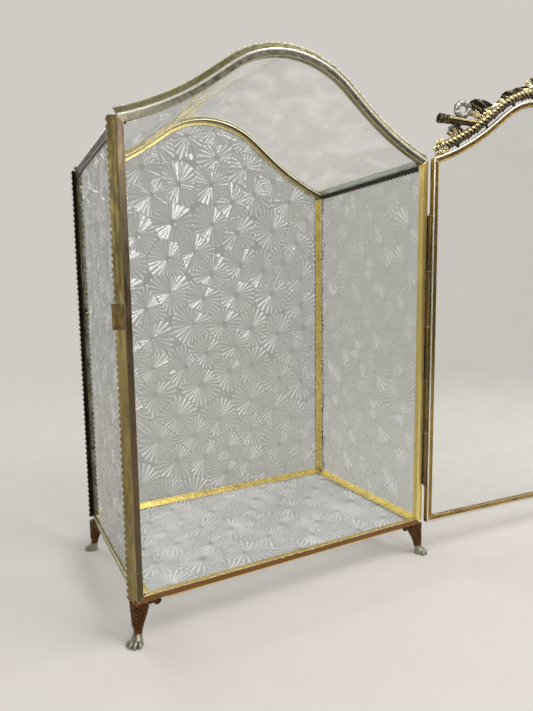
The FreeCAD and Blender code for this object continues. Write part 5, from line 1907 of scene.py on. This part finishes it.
@dataclass
class FrameStrips:
    """CAD nodes whose solids are right as they are and only need their finish."""

    finishes_by_start: tuple[tuple[str, str], ...] = (
        ("inner_strip_shoulder", SHOULDER_STRIP.name),
        ("inner_strip_back_arch", ROOF_STRIP.name),
        ("inner_strip", INNER_STRIP.name),
        ("back_arch", DARK_ARCH.name),
        ("back_", DARK_STRIP.name),
        ("front_arch", ARCH_STRIP.name),
        ("shoulder_rail", HIGHLIT_RAIL_STRIP.name),
        ("front_post_right", POLISHED_STRIP.name),
        ("front_post_left", POST_STRIP.name),
        ("front_bottom", RAIL_STRIP.name),
        ("door_glass", CLEAR_SHEET.name),
        ("door_", HANDLED_STRIP.name),
        ("top_glass", CLEAR_ROOF.name),
        ("hinge", OILED_STRIP.name),
        ("catch", OILED_STRIP.name),
    )

    def dress(self, nodes: dict[str, Piece], finishes: Finishes) -> None:
        """Give every node its finish.

        Args:
            nodes: The CAD nodes by name.
            finishes: The materials by name.
        """
        for name, node in nodes.items():
            fitting = (finish for begin, finish in self.finishes_by_start if name.startswith(begin))
            chosen = next(fitting, AGED_STRIP.name)
            node.data.materials.clear()
            node.data.materials.append(finishes[chosen])
            LOG.info("%s: %s", name, chosen)


@dataclass
class Studio:
    """Pale floor, soft lamps and the camera at the photograph's place."""

    floor_radius: float = 6.0
    floor_inset: float = 0.4
    eye: Place = (-186.36, -372.34, 208.95)
    yaw: float = math.radians(28.346)
    pitch: float = math.radians(-6.385)
    roll: float = math.radians(-0.781)
    focal_pixels: float = 528.05
    image_height: int = 711
    sensor: float = 36.0
    backdrop: str = "#D0CBC5"
    room: str = "#8A837A"
    ceiling: str = "#6A665F"
    ceiling_rise: Point = (0.35, 0.8)
    fill: float = 0.5
    aim: Place = (0.05, 0.0, 0.18)
    lamps: tuple[tuple[str, Place, Point, float], ...] = (
        ("softbox_key", (0.8, -0.9, 1.5), (0.8, 0.8), 15.0),
        ("softbox_front", (0.0, -1.5, 0.8), (0.45, 0.45), 7.0),
        ("softbox_left", (-1.15, -1.25, 0.42), (0.4, 1.2), 1.2),
        ("softbox_side", (1.4, -0.45, 1.0), (0.35, 1.1), 5.0),
        ("softbox_back", (-0.6, 1.4, 1.2), (1.2, 0.4), 8.0),
    )

    def floor(self) -> None:
        """Lay the floor paper."""
        floor = start("circle", vertices=96, radius=self.floor_radius, fill_type="NGON")
        pick(floor, whole)
        bpy.ops.mesh.inset(thickness=self.floor_radius * self.floor_inset)
        hold(floor)
        floor.name = "studio_floor"
        floor.data.materials.append(StudioPaper(self.backdrop, self.room).make())

    def world(self) -> None:
        """Soft light all round; the backdrop is pale, and metal mirrors a darker room before the case."""
        world = bpy.data.worlds.new("studio_room")
        bpy.context.scene.world = world
        world.use_nodes = True
        tree = world.node_tree
        tree.nodes.clear()
        ray = add(tree, "TexCoord").outputs["Generated"]
        behind = backdrop_share(tree, ray)
        wall = add(tree, "Mix", {0: behind, 6: self.room, 7: self.backdrop}, **COLOUR).outputs[2]
        height = add(tree, "SeparateXYZ", {0: ray}).outputs["Z"]
        low, high = self.ceiling_rise
        rise = add(tree, "MapRange", {0: height, 1: low, 2: high}, **SOFT)
        room = add(tree, "Mix", {0: rise, 6: wall, 7: self.ceiling}, **COLOUR).outputs[2]
        mirrored = add(tree, "Background", {0: room, 1: 1.0})
        seen = add(tree, "Background", {0: self.backdrop, 1: 1.0})
        light = add(tree, "Background", {0: (1.0, 1.0, 1.0, 1.0), 1: self.fill})
        path = add(tree, "LightPath").outputs
        shown = add(tree, "MixShader", {0: path["Is Glossy Ray"], 1: light, 2: mirrored})
        view = add(tree, "MixShader", {0: straight_view(tree, path), 1: shown, 2: seen})
        add(tree, "OutputWorld", {0: view})

    def light(self) -> None:
        """Hang the soft lamps, each aimed at the case's middle."""
        for name, place, (wide, tall), watts in self.lamps:
            data = bpy.data.lights.new(name, "AREA")
            data.shape, data.size, data.size_y, data.energy = "RECTANGLE", wide, tall, watts
            lamp = bpy.data.objects.new(name, data)
            lamp.location = place
            way = Vector(self.aim) - Vector(place)
            lamp.rotation_euler = way.to_track_quat("-Z", "Y").to_euler()
            lamp.visible_camera = False
            bpy.context.collection.objects.link(lamp)

    def camera(self) -> None:
        """Stand the camera where the photograph was taken from."""
        flat = math.cos(self.pitch)
        ahead = Vector((math.sin(self.yaw) * flat, math.cos(self.yaw) * flat, math.sin(self.pitch)))
        level = Vector((math.cos(self.yaw), -math.sin(self.yaw), 0))
        over = level.cross(ahead)
        right = math.cos(self.roll) * level + math.sin(self.roll) * over
        up = math.cos(self.roll) * over - math.sin(self.roll) * level
        data = bpy.data.cameras.new("photo_camera")
        data.sensor_width, data.sensor_fit = self.sensor, "AUTO"
        data.lens = self.focal_pixels / self.image_height * self.sensor
        data.clip_start = 0.01
        camera = bpy.data.objects.new("photo_camera", data)
        turn = Matrix((right, up, -ahead)).transposed().to_4x4()
        camera.matrix_world = shift(*self.eye) @ turn
        bpy.context.collection.objects.link(camera)
        bpy.context.scene.camera = camera

    def build(self) -> None:
        """Set the studio up."""
        self.floor()
        self.world()
        self.light()
        self.camera()
        bpy.context.scene.view_settings.view_transform = "Standard"
        bpy.context.scene.cycles.transparent_max_bounces = 24


def main() -> None:
    """Build and dress the display case, piece by piece."""
    logging.basicConfig(level=logging.INFO, format="%(name)s %(message)s")
    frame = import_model()
    makers = (
        AGED_STRIP, HANDLED_STRIP, RAIL_STRIP, POLISHED_STRIP, DARK_STRIP, INNER_STRIP, HIGHLIT_FOLD,
        OILED_STRIP, ROOF_STRIP, SHOULDER_STRIP, POST_STRIP, HIGHLIT_RAIL_STRIP, ARCH_STRIP, DARK_ARCH,
        CAST_CREST, DARK_CREST, SILVER_CREST, CAST_FOOT, Solder(), PRESSED_WALL, PRESSED_SIDE,
        PRESSED_FLOOR, CLEAR_SHEET, CLEAR_ROOF,
    )
    finishes = {finish.name: finish.make() for finish in makers}
    Studio().build()
    FrameStrips().dress(frame["nodes"], finishes)
    for pane in pressed_panes():
        pane.dress(finishes)
    RolledFolds().dress(finishes)
    Crest().dress(finishes)
    Feet().dress(finishes)
    SolderedJoints().dress(finishes)


if __name__ == "__main__":
    main()
